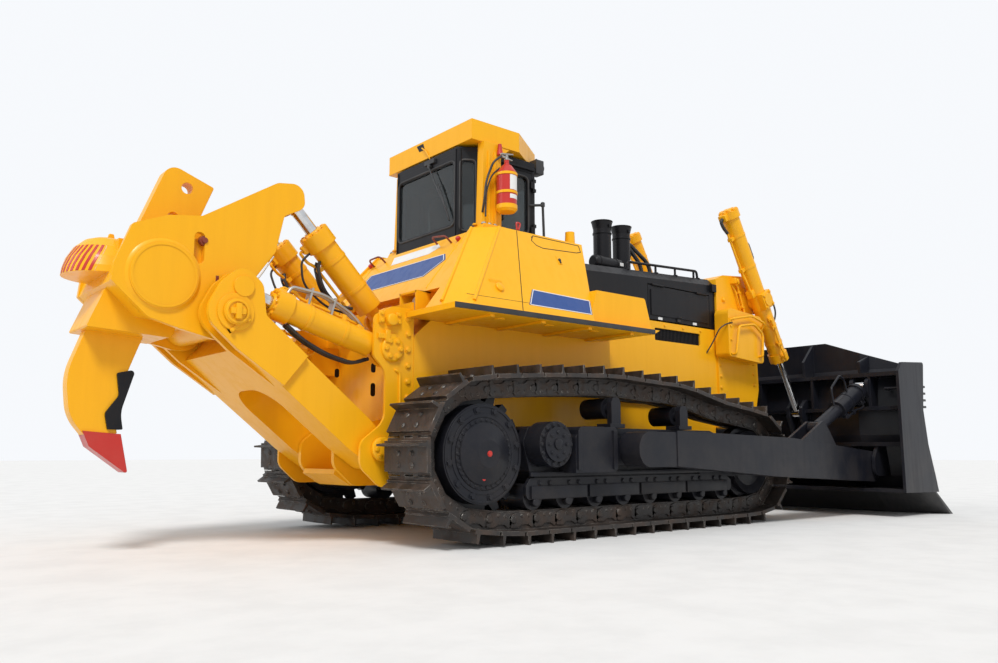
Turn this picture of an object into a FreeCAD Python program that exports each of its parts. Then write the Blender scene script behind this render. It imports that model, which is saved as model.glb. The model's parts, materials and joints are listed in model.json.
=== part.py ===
import FreeCAD, Part
import math
import os

# Crawler bulldozer with a single-shank ripper, all lengths in millimetres.
# While modelling: X = 0 at the sprocket axle, +X towards the blade, +Y to the left, Z = 0 on the ground.
# At the end every shape moves back by CENTRE_X, so that the origin lies under the middle of the machine.

# Driving dimensions: overall
REAR_X = -3450
FRONT_X = 8115
CENTRE_X = (REAR_X + FRONT_X) / 2
BLADE_HALF = 2632.5
ROOF_TOP = 4646
RUN_GAP = 0.3
SEAT = 0.3
PIN_GAP = 0.06
SIDE_GAP = 10

# Tracks
TRACK_Y = 1385
SHOE_WIDTH = 710
SHOE_COUNT = 41
GROUSER_HEIGHT = 90
GROUSER_ROOT = 34
GROUSER_TIP = 20
PLATE_THICK = 28
LINK_OUT = 115
LINK_IN = 85
LINK_INNER_Y = 72
LINK_OUTER_Y = 150
SHOE_END_GAP = 9
PITCH_GROUND = GROUSER_HEIGHT + PLATE_THICK + LINK_OUT
SPROCKET_Z = 885
SPROCKET_R = 620
RIM_HALF = 55
IDLER_X = 4600
IDLER_Z = 770
IDLER_R = 520
GROUND_START = 450
GROUND_END = 4150
# top run of the chain between sprocket and idler: x, height of the pitch line
TOP_RUN = [
    (3800, 1395),
    (3050, 1560),
    (2450, 1578),
    (1850, 1615),
    (850, 1570),
]
CARRIER_ROLLERS = [
    (1850, 1615),
    (3050, 1560),
]
CARRIER_R = 115
CARRIER_SAG = 32
ROLLER_R = 130
ROLLER_COUNT = 8

# Track frames and their outer gear
FRAME_IN = 1200
FRAME_OUT = 1570
FRAME_TOP = 1165
FRAME_BOTTOM = 610
FRAME_PLATE = 45
PIVOT = (810, 980)
PIVOT_R = 130

# Main frame (hull)
HULL_HALF = 900
HULL_BOTTOM = 655
HULL_REAR = -330
HULL_STEP_X = 2620
GUARD_X = 5070
RAIL_TOP = 1880
BAR_X = (3900, 4140)
ENGINE_HALF = 690

# Push arms, blade and their cylinders
ARM_HINGE = (2120, 930)
ARM_IN = 1820
ARM_OUT = 2100
BLADE_PIN = (6930, 690)
BLADE_PIN_R = 70
BRACE_Y = 1960
BRACE_PIN = (5560, 1215)
BRACE_EYE = (6930, 1843)
LIFT_Y = 940
LIFT_TRUNNION = (5930, 3170)
LIFT_FOOT = (6868, 1497)
LIFT_BARREL_R = 125
LIFT_ROD_R = 55
LIFT_ABOVE = 1450
LIFT_BELOW = 1000

# Ripper
RIPPER_PIVOT = (-700, 930)
BEAM_PIN = (-2205, 2135)
RIP_LIFT_EYE = (-2140, 2375)
RIP_LIFT_BASE = (-590, 1925)
RIP_LIFT_Y = 722
TILT_EYE = (-1560, 3415)
TILT_BASE = (-450, 2270)
TILT_Y = 420
RIP_ARM_HALF = 792
LEG_IN = 400
BEAM_HALF = 560
BEAM_PLATE = 60
SHANK_HALF = 75

# Body
FENDER_TOP = 2318
FENDER_THICK = 58
FENDER_OUT = 1720
TANK_TOP = 3290
SIDE_TANK_TOP = 3340
DECK_TOP = 2860
PANEL_TOP = 2660
STEP_TOP = 2700
HOOD_HALF = 750
HOOD_REAR_X = 1830
HOOD_LOW = 3261
HOOD_HIGH = 3430
PLATFORM_X = 390
# front edge of the side tanks: x at their foot and at their top
TANK_FRONT = (1520, 1860)
BASE = FENDER_TOP + SEAT
GUARD_HALF = 780

NODES = {}


def vec(x, y, z):
    return FreeCAD.Vector(x, y, z)


def corner_path(points):
    """Edges of a closed outline as 2D steps; a third number in a point is that corner's radius."""
    count = len(points)
    stops = []
    for i in range(count):
        here = points[i]
        radius = here[2] if len(here) > 2 else 0
        if radius == 0:
            stops.append([(here[0], here[1])])
            continue
        before = points[i - 1]
        after = points[(i + 1) % count]
        to_before = (before[0] - here[0], before[1] - here[1])
        to_after = (after[0] - here[0], after[1] - here[1])
        len_before = math.hypot(*to_before)
        len_after = math.hypot(*to_after)
        unit_b = (to_before[0] / len_before, to_before[1] / len_before)
        unit_a = (to_after[0] / len_after, to_after[1] / len_after)
        cosine = unit_b[0] * unit_a[0] + unit_b[1] * unit_a[1]
        half = math.acos(max(-1, min(1, cosine))) / 2
        reach = min(radius / math.tan(half), 0.49 * len_before, 0.49 * len_after)
        radius = reach * math.tan(half)
        middle = (unit_b[0] + unit_a[0], unit_b[1] + unit_a[1])
        size = math.hypot(*middle)
        bulge = radius / math.sin(half) - radius
        stops.append([
            (here[0] + unit_b[0] * reach, here[1] + unit_b[1] * reach),
            (here[0] + middle[0] / size * bulge, here[1] + middle[1] / size * bulge),
            (here[0] + unit_a[0] * reach, here[1] + unit_a[1] * reach),
        ])
    return stops


def prism(points, plane, start, end):
    """A closed outline pushed from start to end across its plane: XZ along Y, XY along Z, YZ along X."""
    place = {
        "XZ": lambda u, v: vec(u, start, v),
        "XY": lambda u, v: vec(u, v, start),
        "YZ": lambda u, v: vec(start, u, v),
    }[plane]
    push = {
        "XZ": vec(0, end - start, 0),
        "XY": vec(0, 0, end - start),
        "YZ": vec(end - start, 0, 0),
    }[plane]
    stops = corner_path(points)
    edges = []
    count = len(stops)
    for i in range(count):
        stop = stops[i]
        if len(stop) == 3:
            edges.append(Part.Arc(place(*stop[0]), place(*stop[1]), place(*stop[2])).toShape())
        leave = place(*stop[-1])
        arrive = place(*stops[(i + 1) % count][0])
        if leave.distanceToPoint(arrive) > 0.001:
            edges.append(Part.LineSegment(leave, arrive).toShape())
    return Part.Face(Part.Wire(edges)).extrude(push)


def box(x0, x1, y0, y1, z0, z1):
    return Part.makeBox(x1 - x0, y1 - y0, z1 - z0, vec(x0, y0, z0))


def rod(start, end, radius):
    along = end.sub(start)
    return Part.makeCylinder(radius, along.Length, start, along)


def disc_y(centre, y0, y1, radius):
    return Part.makeCylinder(radius, y1 - y0, vec(centre[0], y0, centre[1]), vec(0, 1, 0))


def turned_y(centre, profile):
    """A round body about an axis along Y; the profile lists (radius, y)."""
    points = [vec(centre[0] + r, y, centre[1]) for r, y in profile]
    points.append(points[0])
    face = Part.Face(Part.makePolygon(points))
    return face.revolve(vec(centre[0], 0, centre[1]), vec(0, 1, 0), 360)


def turned_along(start, direction, profile):
    """A round body about any axis; the profile lists (distance along it, radius)."""
    points = [vec(r, 0, d) for d, r in profile]
    points.append(points[0])
    body = Part.Face(Part.makePolygon(points)).revolve(vec(0, 0, 0), vec(0, 0, 1), 360)
    body.Placement = FreeCAD.Placement(start, FreeCAD.Rotation(vec(0, 0, 1), direction))
    return body


def mirrored(shape):
    return shape.mirror(vec(0, 0, 0), vec(0, 1, 0))


def joined(shapes):
    result = shapes[0]
    if len(shapes) > 1:
        result = shapes[0].fuse(shapes[1:])
    return result.removeSplitter()


def add(name, shape):
    NODES[name] = shape


def add_sides(name, right):
    """One node each side; shapes are drawn on the right, at negative Y."""
    add(name + "_right", right)
    add(name + "_left", mirrored(right))


def add_pair(name, right):
    """Both sides in one node."""
    add(name, Part.makeCompound(right.Solids + mirrored(right).Solids))


def unit(start, end):
    length = math.hypot(end[0] - start[0], end[1] - start[1])
    return ((end[0] - start[0]) / length, (end[1] - start[1]) / length)


def along(start, direction, distance):
    return (start[0] + direction[0] * distance, start[1] + direction[1] * distance)


def length(start, end):
    return math.hypot(end[0] - start[0], end[1] - start[1])


# Track chain
def tangent_touch(centre, radius, point, side):
    """Where a line from point touches the circle; side +1 or -1 picks one of the two."""
    dx = point[0] - centre[0]
    dz = point[1] - centre[1]
    far = math.hypot(dx, dz)
    angle = math.atan2(dz, dx) + side * math.acos(radius / far)
    return (centre[0] + radius * math.cos(angle), centre[1] + radius * math.sin(angle))


def on_circle(centre, radius, degrees):
    turn = math.radians(degrees)
    return (centre[0] + radius * math.cos(turn), centre[1] + radius * math.sin(turn))


def chain_pins():
    """Pins of the chain at equal steps round the pitch line."""
    sprocket = (0, SPROCKET_Z)
    idler = (IDLER_X, IDLER_Z)
    bottom = [(GROUND_START, PITCH_GROUND), (GROUND_END, PITCH_GROUND)]
    idler_low = tangent_touch(idler, IDLER_R, bottom[1], 1)
    idler_high = tangent_touch(idler, IDLER_R, TOP_RUN[0], -1)
    sprocket_high = tangent_touch(sprocket, SPROCKET_R, TOP_RUN[-1], 1)
    sprocket_low = tangent_touch(sprocket, SPROCKET_R, bottom[0], -1)
    place = lambda p: vec(p[0], 0, p[1])
    run = [bottom[0], bottom[1], idler_low]
    edges = [Part.LineSegment(place(run[i]), place(run[i + 1])).toShape() for i in range(2)]
    edges.append(Part.Arc(place(idler_low), place(on_circle(idler, IDLER_R, 0)), place(idler_high)).toShape())
    run = [idler_high] + TOP_RUN + [sprocket_high]
    for i in range(len(run) - 1):
        edges.append(Part.LineSegment(place(run[i]), place(run[i + 1])).toShape())
    edges.append(Part.Arc(place(sprocket_high), place(on_circle(sprocket, SPROCKET_R, 180)),
                          place(sprocket_low)).toShape())
    edges.append(Part.LineSegment(place(sprocket_low), place(bottom[0])).toShape())
    wire = Part.Wire(edges)
    return [(p.x, p.z) for p in wire.discretize(Number=SHOE_COUNT + 1)[:SHOE_COUNT]]


def chain_band(pins, offset):
    """The chain's corners at a distance outwards from the pitch line."""
    corners = []
    count = len(pins)
    for i in range(count):
        before = unit(pins[i - 1], pins[i])
        after = unit(pins[i], pins[(i + 1) % count])
        out = (before[1] + after[1], -before[0] - after[0])
        size = math.hypot(*out)
        stretch = offset / (size / 2)
        corners.append((pins[i][0] + out[0] / size * stretch, pins[i][1] + out[1] / size * stretch))
    return corners


def shoe_outline(start, end):
    """One shoe seen from the side: plate, with the grouser near its leading edge."""
    direction = unit(start, end)
    out = (direction[1], -direction[0])
    pitch = length(start, end)
    bottom = LINK_OUT - 8
    plate = LINK_OUT + PLATE_THICK
    tip = plate + GROUSER_HEIGHT
    lean = (GROUSER_ROOT - GROUSER_TIP) / 2
    lead = 30
    steps = [
        (SHOE_END_GAP, bottom),
        (SHOE_END_GAP, plate),
        (lead, plate),
        (lead + lean, tip),
        (lead + lean + GROUSER_TIP, tip),
        (lead + GROUSER_ROOT, plate),
        (pitch - SHOE_END_GAP, plate),
        (pitch - SHOE_END_GAP, bottom),
    ]
    return [along(along(start, direction, t), out, n) for t, n in steps]


def track():
    pins = chain_pins()
    outline = []
    for i in range(SHOE_COUNT):
        outline += shoe_outline(pins[i], pins[(i + 1) % SHOE_COUNT])
    shoes = prism(outline, "XZ", -TRACK_Y - SHOE_WIDTH / 2, -TRACK_Y + SHOE_WIDTH / 2)
    hollow = prism(chain_band(pins, LINK_OUT - 16), "XZ", -TRACK_Y - SHOE_WIDTH, -TRACK_Y + SHOE_WIDTH)
    shoes = shoes.cut(hollow)
    rails = []
    for side in (-1, 1):
        near = -TRACK_Y + side * LINK_INNER_Y
        far = -TRACK_Y + side * LINK_OUTER_Y
        low, high = min(near, far), max(near, far)
        outer = prism(chain_band(pins, LINK_OUT - 12), "XZ", low, high)
        inner = prism(chain_band(pins, -LINK_IN), "XZ", low - 1, high + 1)
        rails.append(outer.cut(inner))
    return shoes.fuse(rails)


def sprocket():
    """Final drive hub with its bolted flange, and the toothed rim between the chain's rails."""
    hub = turned_y((0, SPROCKET_Z), [
        (0, -1725), (130, -1725), (150, -1716), (300, -1655), (300, -1640), (345, -1640),
        (345, -1628), (485, -1628), (485, -1240), (430, -1200), (430, -HULL_HALF - SEAT), (0, -HULL_HALF - SEAT),
    ])
    teeth = 20
    root = SPROCKET_R - 80
    tip = SPROCKET_R + 20
    points = []
    for i in range(teeth):
        for part, radius in ((0.0, root), (0.30, root), (0.45, tip), (0.85, tip)):
            points.append(on_circle((0, SPROCKET_Z), radius, (i + part) * 360 / teeth))
    rim = prism(points, "XZ", -TRACK_Y - RIM_HALF, -TRACK_Y + RIM_HALF)
    return joined([hub, rim])


def idler():
    tread = IDLER_R * math.cos(math.asin(157 / IDLER_R)) - LINK_IN - 4
    hub = (FRAME_OUT - FRAME_IN) / 2 - SEAT
    return turned_y((IDLER_X, IDLER_Z), [
        (0, -TRACK_Y - hub), (140, -TRACK_Y - hub), (140, -TRACK_Y - 150), (300, -TRACK_Y - 120),
        (tread, -TRACK_Y - 155), (tread, -TRACK_Y - 66), (tread + 60, -TRACK_Y - 62),
        (tread + 60, -TRACK_Y + 62), (tread, -TRACK_Y + 66), (tread, -TRACK_Y + 155),
        (300, -TRACK_Y + 120), (140, -TRACK_Y + 150), (140, -TRACK_Y + hub), (0, -TRACK_Y + hub),
    ])


def roller_places():
    first = GROUND_START + 240
    last = GROUND_END - 250
    step = (last - first) / (ROLLER_COUNT - 1)
    height = PITCH_GROUND + LINK_IN + SEAT + ROLLER_R
    return [(first + i * step, height) for i in range(ROLLER_COUNT)]


def track_rollers():
    return Part.makeCompound([disc_y(place, -FRAME_OUT + SEAT, -FRAME_IN - SEAT, ROLLER_R)
                              for place in roller_places()])


def carrier_rollers():
    """Two rollers under the top run, each with its post on the track frame's outer edge."""
    pieces = []
    for x, pitch_z in CARRIER_ROLLERS:
        centre = (x, pitch_z - LINK_IN - CARRIER_SAG - CARRIER_R)
        roller = disc_y(centre, -1560, -1225, CARRIER_R)
        shaft = disc_y(centre, -1640, -1560, 62)
        post = prism([(x - 75, FRAME_TOP + SEAT), (x + 75, FRAME_TOP + SEAT), (x + 75, centre[1] + 60, 30),
                      (x + 45, centre[1] + 120, 30), (x - 45, centre[1] + 120, 30),
                      (x - 75, centre[1] + 60, 30)], "XZ", -1680, -1610)
        foot = box(x - 120, x + 120, -1700, -1500, FRAME_TOP + SEAT, FRAME_TOP + 45)
        pieces.append(joined([roller, shaft, post, foot]))
    return Part.makeCompound(pieces)


def track_frame():
    """Box frame inside the chain, its fork at the idler, and the guards beside the rollers."""
    body = prism([(650, 700, 60), (560, 1000, 60), (640, FRAME_TOP, 60), (3700, FRAME_TOP, 80),
                  (4130, 1030, 60), (4130, FRAME_BOTTOM), (760, FRAME_BOTTOM, 60)],
                 "XZ", -FRAME_OUT, -FRAME_IN)
    pieces = [body]
    for y0, y1 in ((-FRAME_OUT - FRAME_PLATE, -FRAME_OUT), (-FRAME_IN, -FRAME_IN + FRAME_PLATE)):
        fork = prism([(3400, 640, 40), (3400, 1010, 40), (4700, 960, 120), (4820, 770, 100),
                      (4700, 620, 120), (4100, 600)], "XZ", y0, y1)
        guard = prism([(620, 640), (3900, 640), (4050, 560, 40), (4050, 425, 60),
                       (560, 425, 60), (560, 560, 40)], "XZ", y0, y1)
        pieces += [fork, guard]
    bore = disc_y(PIVOT, -FRAME_OUT - 100, -FRAME_IN + 100, PIVOT_R + RUN_GAP)
    rim_room = disc_y((0, SPROCKET_Z), -TRACK_Y - RIM_HALF - 10, -TRACK_Y + RIM_HALF + 10, SPROCKET_R + 45)
    return joined(pieces).cut([bore, rim_room])


def trunnion():
    """Outboard gear of the track frame: pivot shaft and cap, bracket, and the pin that carries the push arm."""
    side = -FRAME_OUT - SEAT
    shaft = disc_y(PIVOT, -1800, -HULL_HALF - SEAT, PIVOT_R)
    cap = disc_y(PIVOT, -1800, side, 230)
    face = disc_y(PIVOT, -1830, -1800, 175)
    bracket = prism([(1060, 690), (1700, 690, 60), (1700, 1165, 60), (1130, 1165, 60), (1060, 1050)],
                    "XZ", -1830, side)
    arm_pin = disc_y(ARM_HINGE, -2050, side, 120)
    return Part.makeCompound([joined([shaft, cap, face]), bracket, arm_pin])


def main_frame():
    """Steering case and frame rails; a notch under the front holds the equalizer bar."""
    case = prism([(HULL_REAR, 900, 120), (HULL_REAR, 2080, 60), (-150, 2240), (-60, FENDER_TOP),
                  (HULL_STEP_X, FENDER_TOP), (HULL_STEP_X, HULL_BOTTOM), (-80, HULL_BOTTOM, 120)],
                 "XZ", -HULL_HALF, HULL_HALF)
    end = GUARD_X - SEAT
    front = prism([(HULL_STEP_X, HULL_BOTTOM), (4700, HULL_BOTTOM, 200), (end, 900), (end, RAIL_TOP),
                   (HULL_STEP_X, RAIL_TOP)], "XZ", -ENGINE_HALF, ENGINE_HALF)
    notch = box(BAR_X[0] - SEAT, BAR_X[1] + SEAT, -ENGINE_HALF - 10, ENGINE_HALF + 10, HULL_BOTTOM - 10, 900)
    return joined([case, front]).cut(notch)


def equalizer_bar():
    half = FRAME_IN - FRAME_PLATE - SEAT
    return prism([(BAR_X[0], 720), (BAR_X[1], 720), (BAR_X[1], 880), (BAR_X[0], 880)], "XZ", -half, half)


def engine_panels():
    """Yellow frame sides beside the engine, with the mesh window cut in each."""
    rear = HULL_STEP_X + SEAT
    front = GUARD_X - SEAT
    right = prism([(rear, 1560), (front, 1560), (front, PANEL_TOP), (rear, PANEL_TOP)],
                  "XZ", -HOOD_HALF, -ENGINE_HALF - SEAT)
    window = prism([(3690, 2400, 20), (4690, 2400, 20), (4690, 2570, 20), (3690, 2570, 20)],
                   "XZ", -HOOD_HALF - 5, -ENGINE_HALF + 5)
    return right.cut(window)


HOOD_WALL = 60
HOOD_CHAMFER = 110
DOOR_TOP = 3150
DOOR_BOTTOM = 2680
DOOR_REAR = 3570
DOOR_FRONT = 4930
HINGE_Y = 760
HINGE_Z = 3157.5
HINGE_R = 16
# along X: start and end of the knuckles that turn with the engine door, and of those on the hood
DOOR_KNUCKLES = [(3700, 3820), (4680, 4800)]
HOOD_KNUCKLES = [(3640, 3699.7), (3820.3, 3880), (4620, 4679.7), (4800.3, 4860)]


def hood_top(x):
    return HOOD_LOW + (HOOD_HIGH - HOOD_LOW) * (x - HOOD_REAR_X) / (GUARD_X - HOOD_REAR_X)


def hood_knuckles(spans, radius, reach=0):
    return [Part.makeCylinder(radius, x1 - x0 + 2 * reach, vec(x0 - reach, -HINGE_Y, HINGE_Z), vec(1, 0, 0))
            for x0, x1 in spans]


def hood():
    """Black hood: sloping top with chamfered shoulders, pillars between the doors, open below."""
    def section(x, shrink, low):
        half = HOOD_HALF - shrink
        top = hood_top(x) - shrink
        points = [vec(x, -half, low), vec(x, -half, top - HOOD_CHAMFER), vec(x, -half + HOOD_CHAMFER, top),
                  vec(x, half - HOOD_CHAMFER, top), vec(x, half, top - HOOD_CHAMFER), vec(x, half, low)]
        return Part.makePolygon(points + [points[0]])

    rear = HOOD_REAR_X
    front = GUARD_X - SEAT
    outer = Part.makeLoft([section(rear, 0, PANEL_TOP + SEAT), section(front, 0, PANEL_TOP + SEAT)], True, True)
    hollow = Part.makeLoft([section(rear + HOOD_WALL, HOOD_WALL, PANEL_TOP - 50),
                            section(front - HOOD_WALL, HOOD_WALL, PANEL_TOP - 50)], True, True)
    right = box(DOOR_REAR - 10, DOOR_FRONT + 10, -HOOD_HALF - 10, -HOOD_HALF + 100, PANEL_TOP, DOOR_TOP + 15)
    cuts = [hollow, right, mirrored(right)]
    cuts += [Part.makeCylinder(STACK_R + RUN_GAP, 400, vec(x, STACK_Y, 3200)) for x, top in STACKS]
    shell = outer.cut(cuts)
    moving = hood_knuckles(DOOR_KNUCKLES, HINGE_R + RUN_GAP, SEAT)
    fixed = hood_knuckles(HOOD_KNUCKLES, HINGE_R)
    shell = shell.cut(moving + [mirrored(piece) for piece in moving])
    return joined([shell] + fixed + [mirrored(piece) for piece in fixed])


def engine_door():
    """Side door hinged along its top edge, with a raised rim."""
    panel = box(DOOR_REAR, DOOR_FRONT, -HOOD_HALF, -HOOD_HALF + 45, DOOR_BOTTOM, DOOR_TOP)
    rim = box(DOOR_REAR + 50, DOOR_FRONT - 50, -HOOD_HALF - 14, -HOOD_HALF, DOOR_BOTTOM + 60, DOOR_TOP - 60)
    door = joined([panel, rim]).cut(hood_knuckles(HOOD_KNUCKLES, HINGE_R + RUN_GAP, SEAT))
    return joined([door] + hood_knuckles(DOOR_KNUCKLES, HINGE_R))


STACK_R = 125
STACK_Y = -150
# x of each stack, height of its mouth
STACKS = [(3330, 4100), (3730, 4090)]


def exhaust_stacks():
    """Two open pipes that come up through the hood."""
    pieces = []
    for x, top in STACKS:
        pieces.append(turned_along(vec(x, STACK_Y, 3150), vec(0, 0, 1), [
            (0, 0), (0, STACK_R), (top - 3260, STACK_R), (top - 3150, STACK_R + 25),
            (top - 3150, STACK_R + 3), (top - 3260, STACK_R - 22), (300, STACK_R - 22), (300, 0)]))
    return Part.makeCompound(pieces)


TRUNNION_R = 75
EAR_PLATE = 15


def radiator_guard():
    """Heavy box round the radiator: side walls, top and bottom beams, step boxes, open front for the grille."""
    side = [(GUARD_X, 1250), (5900, 1250, 80), (6070, 1830), (6050, 2700), (5890, 3560, 90),
            (5250, 3500, 90), (GUARD_X, 3420)]
    shell = prism(side, "XZ", -GUARD_HALF, GUARD_HALF)
    opening = box(5150, 6300, -GRILLE_HALF, GRILLE_HALF, GRILLE_LOW, GRILLE_HIGH)
    ears = []
    for bracket in (
        prism([(5700, 3000, 40), (6080, 2990, 60), (6080, 3330, 90), (5780, 3400, 60)],
              "XZ", -GUARD_HALF - EAR_PLATE, -GUARD_HALF),
        prism([(5010, 2260, 60), (5880, 2200, 60), (5880, 2900, 90), (5010, 2960, 90)],
              "XZ", -1010, -GUARD_HALF),
    ):
        ears += [bracket, mirrored(bracket)]
    bore = disc_y(LIFT_TRUNNION, -GUARD_HALF - 26, -GUARD_HALF + 60, TRUNNION_R + RUN_GAP)
    return joined([shell.cut(opening)] + ears).cut([bore, mirrored(bore)])


GRILLE_HALF = 670
GRILLE_LOW = 1500
GRILLE_HIGH = 3320


def radiator_grille():
    low = GRILLE_LOW + SEAT
    high = GRILLE_HIGH - SEAT
    return prism([(5930, low), (5990, low), (5955, 2690), (5840, high), (5780, high), (5895, 2690)],
                 "XZ", -GRILLE_HALF + SEAT, GRILLE_HALF - SEAT)


def rear_body():
    """Sloped tank body behind and beside the cab, before it is split."""
    foot, top = TANK_FRONT
    low = [(-400, -1480), (-190, -1690), (foot, -1690), (foot, 1690), (-190, 1690), (-400, 1480)]
    high = [(380, -960), (600, -1175), (top, -1175), (top, 1175), (600, 1175), (380, 960)]
    wires = []
    for points, z in ((low, BASE), (high, SIDE_TANK_TOP)):
        ring = [vec(x, y, z) for x, y in points]
        wires.append(Part.makePolygon(ring + [ring[0]]))
    body = Part.makeLoft(wires, True, True)
    recess = box(-600, -60, -1180, 1180, 2200, 2560)
    return body.cut(recess)


def side_tank():
    zone = box(-600, 1900, -1800, -HULL_HALF - SEAT, 2200, 3500)
    return rear_body().common(zone)


def rear_tank():
    zone = box(-600, PLATFORM_X - SEAT, -HULL_HALF, HULL_HALF, 2200, TANK_TOP)
    return rear_body().common(zone)


def platform():
    """Deck that carries the cab."""
    return box(PLATFORM_X, HOOD_REAR_X - SEAT, -HULL_HALF, HULL_HALF, BASE, DECK_TOP)


def fender():
    """Plate over the track, with the step box on it."""
    inner = -HULL_HALF - SEAT
    plate = prism([(-430, FENDER_TOP - FENDER_THICK), (2480, FENDER_TOP - FENDER_THICK), (2600, FENDER_TOP),
                   (-430, FENDER_TOP)], "XZ", -FENDER_OUT, inner)
    foot = TANK_FRONT[0] + 2 * SEAT
    head = foot + (TANK_FRONT[1] - TANK_FRONT[0]) * (STEP_TOP - BASE) / (SIDE_TANK_TOP - BASE)
    step = prism([(foot, FENDER_TOP), (2590, FENDER_TOP), (2470, STEP_TOP, 40), (head, STEP_TOP)],
                 "XZ", -1610, inner)
    return joined([plate, step])


# Cab: a six-sided cabin
CAB_WALL = 60
CAB_FLOOR = DECK_TOP + SEAT
CAB_ROOF = 4370
CAB_HALF = 760
CAB_REAR_X = 420
CAB_CORNER_X = 1490
CAB_FRONT_X = 1800
CAB_NOSE = 400
CAB_TAIL_X = 620
CAB_TAIL = 620
CAB_PLAN = [(CAB_REAR_X, -CAB_TAIL), (CAB_TAIL_X, -CAB_HALF), (CAB_CORNER_X, -CAB_HALF), (CAB_FRONT_X, -CAB_NOSE),
            (CAB_FRONT_X, CAB_NOSE), (CAB_CORNER_X, CAB_HALF), (CAB_TAIL_X, CAB_HALF), (CAB_REAR_X, CAB_TAIL)]
CAB_INSIDE = [(480, -590), (638, -700), (1462, -700), (1740, -378), (1740, 378), (1462, 700), (638, 700),
              (480, 590)]
DOOR_X0 = 890
DOOR_X1 = 1440
DOOR_Z0 = 3362
DOOR_Z1 = 4230
DOOR_GAP = 6
PANE = 8
# slanted corner walls on the right: start and end in plan, half width of the window
CAB_SLANTS = [
    ((CAB_CORNER_X, CAB_HALF), (CAB_FRONT_X, CAB_NOSE), 170),
    ((CAB_REAR_X, CAB_TAIL), (CAB_TAIL_X, CAB_HALF), 75),
]
# windows: lower and upper height, half width or x range, corner radius
REAR_WINDOW = (3470, 4200, 560, 60)
FRONT_WINDOW = (3350, 4230, 330, 60)
SLANT_WINDOW = (3400, 4200, 50)
SIDE_WINDOW = (3420, 4180, 690, 830, 50)
CAB_HINGE = (DOOR_X1 + 14, -CAB_HALF - 22)
CAB_HINGE_R = 15
# heights of the knuckles that turn with a cab door, and of those on the cab
CAB_DOOR_KNUCKLES = [(3480, 3560), (4040, 4120)]
CAB_KNUCKLES = [(3440, 3479.7), (3560.3, 3600), (4000, 4039.7), (4120.3, 4160)]


def window(plane, low, high, left, right, radius, start, end, inset=0):
    """A round-cornered opening or, drawn in by the inset, the pane that fills it."""
    corner = radius - inset
    return prism([(left + inset, low + inset, corner), (right - inset, low + inset, corner),
                  (right - inset, high - inset, corner), (left + inset, high - inset, corner)], plane, start, end)


def slanted(shape, side, start, end):
    """Turned into a slanted corner wall that runs from start to end in plan."""
    middle = vec((start[0] + end[0]) / 2, side * (start[1] + end[1]) / 2, 0)
    turn = math.degrees(math.atan2(end[1] - start[1], end[0] - start[0]))
    shape.Placement = FreeCAD.Placement(middle, FreeCAD.Rotation(vec(0, 0, 1), side * turn))
    return shape


def cab_windows(depth, inset=0):
    """Solids through the fixed windows; depth runs across each wall, from outside to inside."""
    outer, inner = depth
    low, high, half, radius = REAR_WINDOW
    solids = [window("YZ", low, high, -half, half, radius, CAB_REAR_X + outer, CAB_REAR_X + inner, inset)]
    low, high, half, radius = FRONT_WINDOW
    solids.append(window("YZ", low, high, -half, half, radius, CAB_FRONT_X - inner, CAB_FRONT_X - outer, inset))
    for side in (-1, 1):
        low, high, left, right, radius = SIDE_WINDOW
        y0, y1 = sorted((side * (CAB_HALF - outer), side * (CAB_HALF - inner)))
        solids.append(window("XZ", low, high, left, right, radius, y0, y1, inset))
        low, high, radius = SLANT_WINDOW
        y0, y1 = sorted((-side * outer, -side * inner))
        for start, end, half in CAB_SLANTS:
            pane = window("XZ", low, high, -half, half, radius, y0, y1, inset)
            solids.append(slanted(pane, side, start, end))
    return solids


def cab_knuckles(spans, radius, reach=0):
    return [Part.makeCylinder(radius, z1 - z0 + 2 * reach, vec(CAB_HINGE[0], CAB_HINGE[1], z0 - reach))
            for z0, z1 in spans]


def hinge_leaf(spans, edge):
    """Flat leaves that tie the knuckles to the wall or the door, whose edge faces the hinge."""
    away = 32 if edge > CAB_HINGE[0] else -32
    leaves = []
    for z0, z1 in spans:
        leaves.append(box(*sorted((edge, edge + away)), CAB_HINGE[1] - 8, -CAB_HALF, z0, z1))
        leaves.append(box(*sorted((CAB_HINGE[0], edge + away)), CAB_HINGE[1] - 8, CAB_HINGE[1] + 14, z0, z1))
    return leaves


def cab_shell():
    outer = prism(CAB_PLAN, "XY", CAB_FLOOR, CAB_ROOF)
    cuts = [prism(CAB_INSIDE, "XY", CAB_FLOOR + CAB_WALL, CAB_ROOF - CAB_WALL)]
    cuts += cab_windows((-10, CAB_WALL + 20))
    for side in (-1, 1):
        y0, y1 = sorted((side * 650, side * 800))
        cuts.append(box(DOOR_X0 - DOOR_GAP, DOOR_X1 + DOOR_GAP, y0, y1, DOOR_Z0 - DOOR_GAP, DOOR_Z1 + DOOR_GAP))
    return outer.cut(cuts)


def cab_parts():
    shell = cab_shell()
    low = CAB_FLOOR + CAB_WALL
    high = CAB_ROOF - CAB_WALL
    add("cab_floor", shell.common(box(300, 2400, -900, 900, CAB_FLOOR, low)))
    add("cab_roof", shell.common(box(300, 2400, -900, 900, high, CAB_ROOF)))
    low += SEAT
    high -= SEAT
    add("cab_rear_wall", shell.common(box(300, 640 - SEAT, -900, 900, low, high)))
    add("cab_front_wall", shell.common(box(CAB_CORNER_X + SEAT, 2400, -900, 900, low, high)))
    side = shell.common(box(640, CAB_CORNER_X, -900, -600, low, high))
    fixed = cab_knuckles(CAB_KNUCKLES, CAB_HINGE_R) + hinge_leaf(CAB_KNUCKLES, CAB_HINGE[0] + 1)
    add_sides("cab_side", joined([side] + fixed))


def cab_glass():
    """Fixed panes, each seated in its window."""
    return Part.makeCompound(cab_windows((20, 20 + PANE), SEAT))


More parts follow.
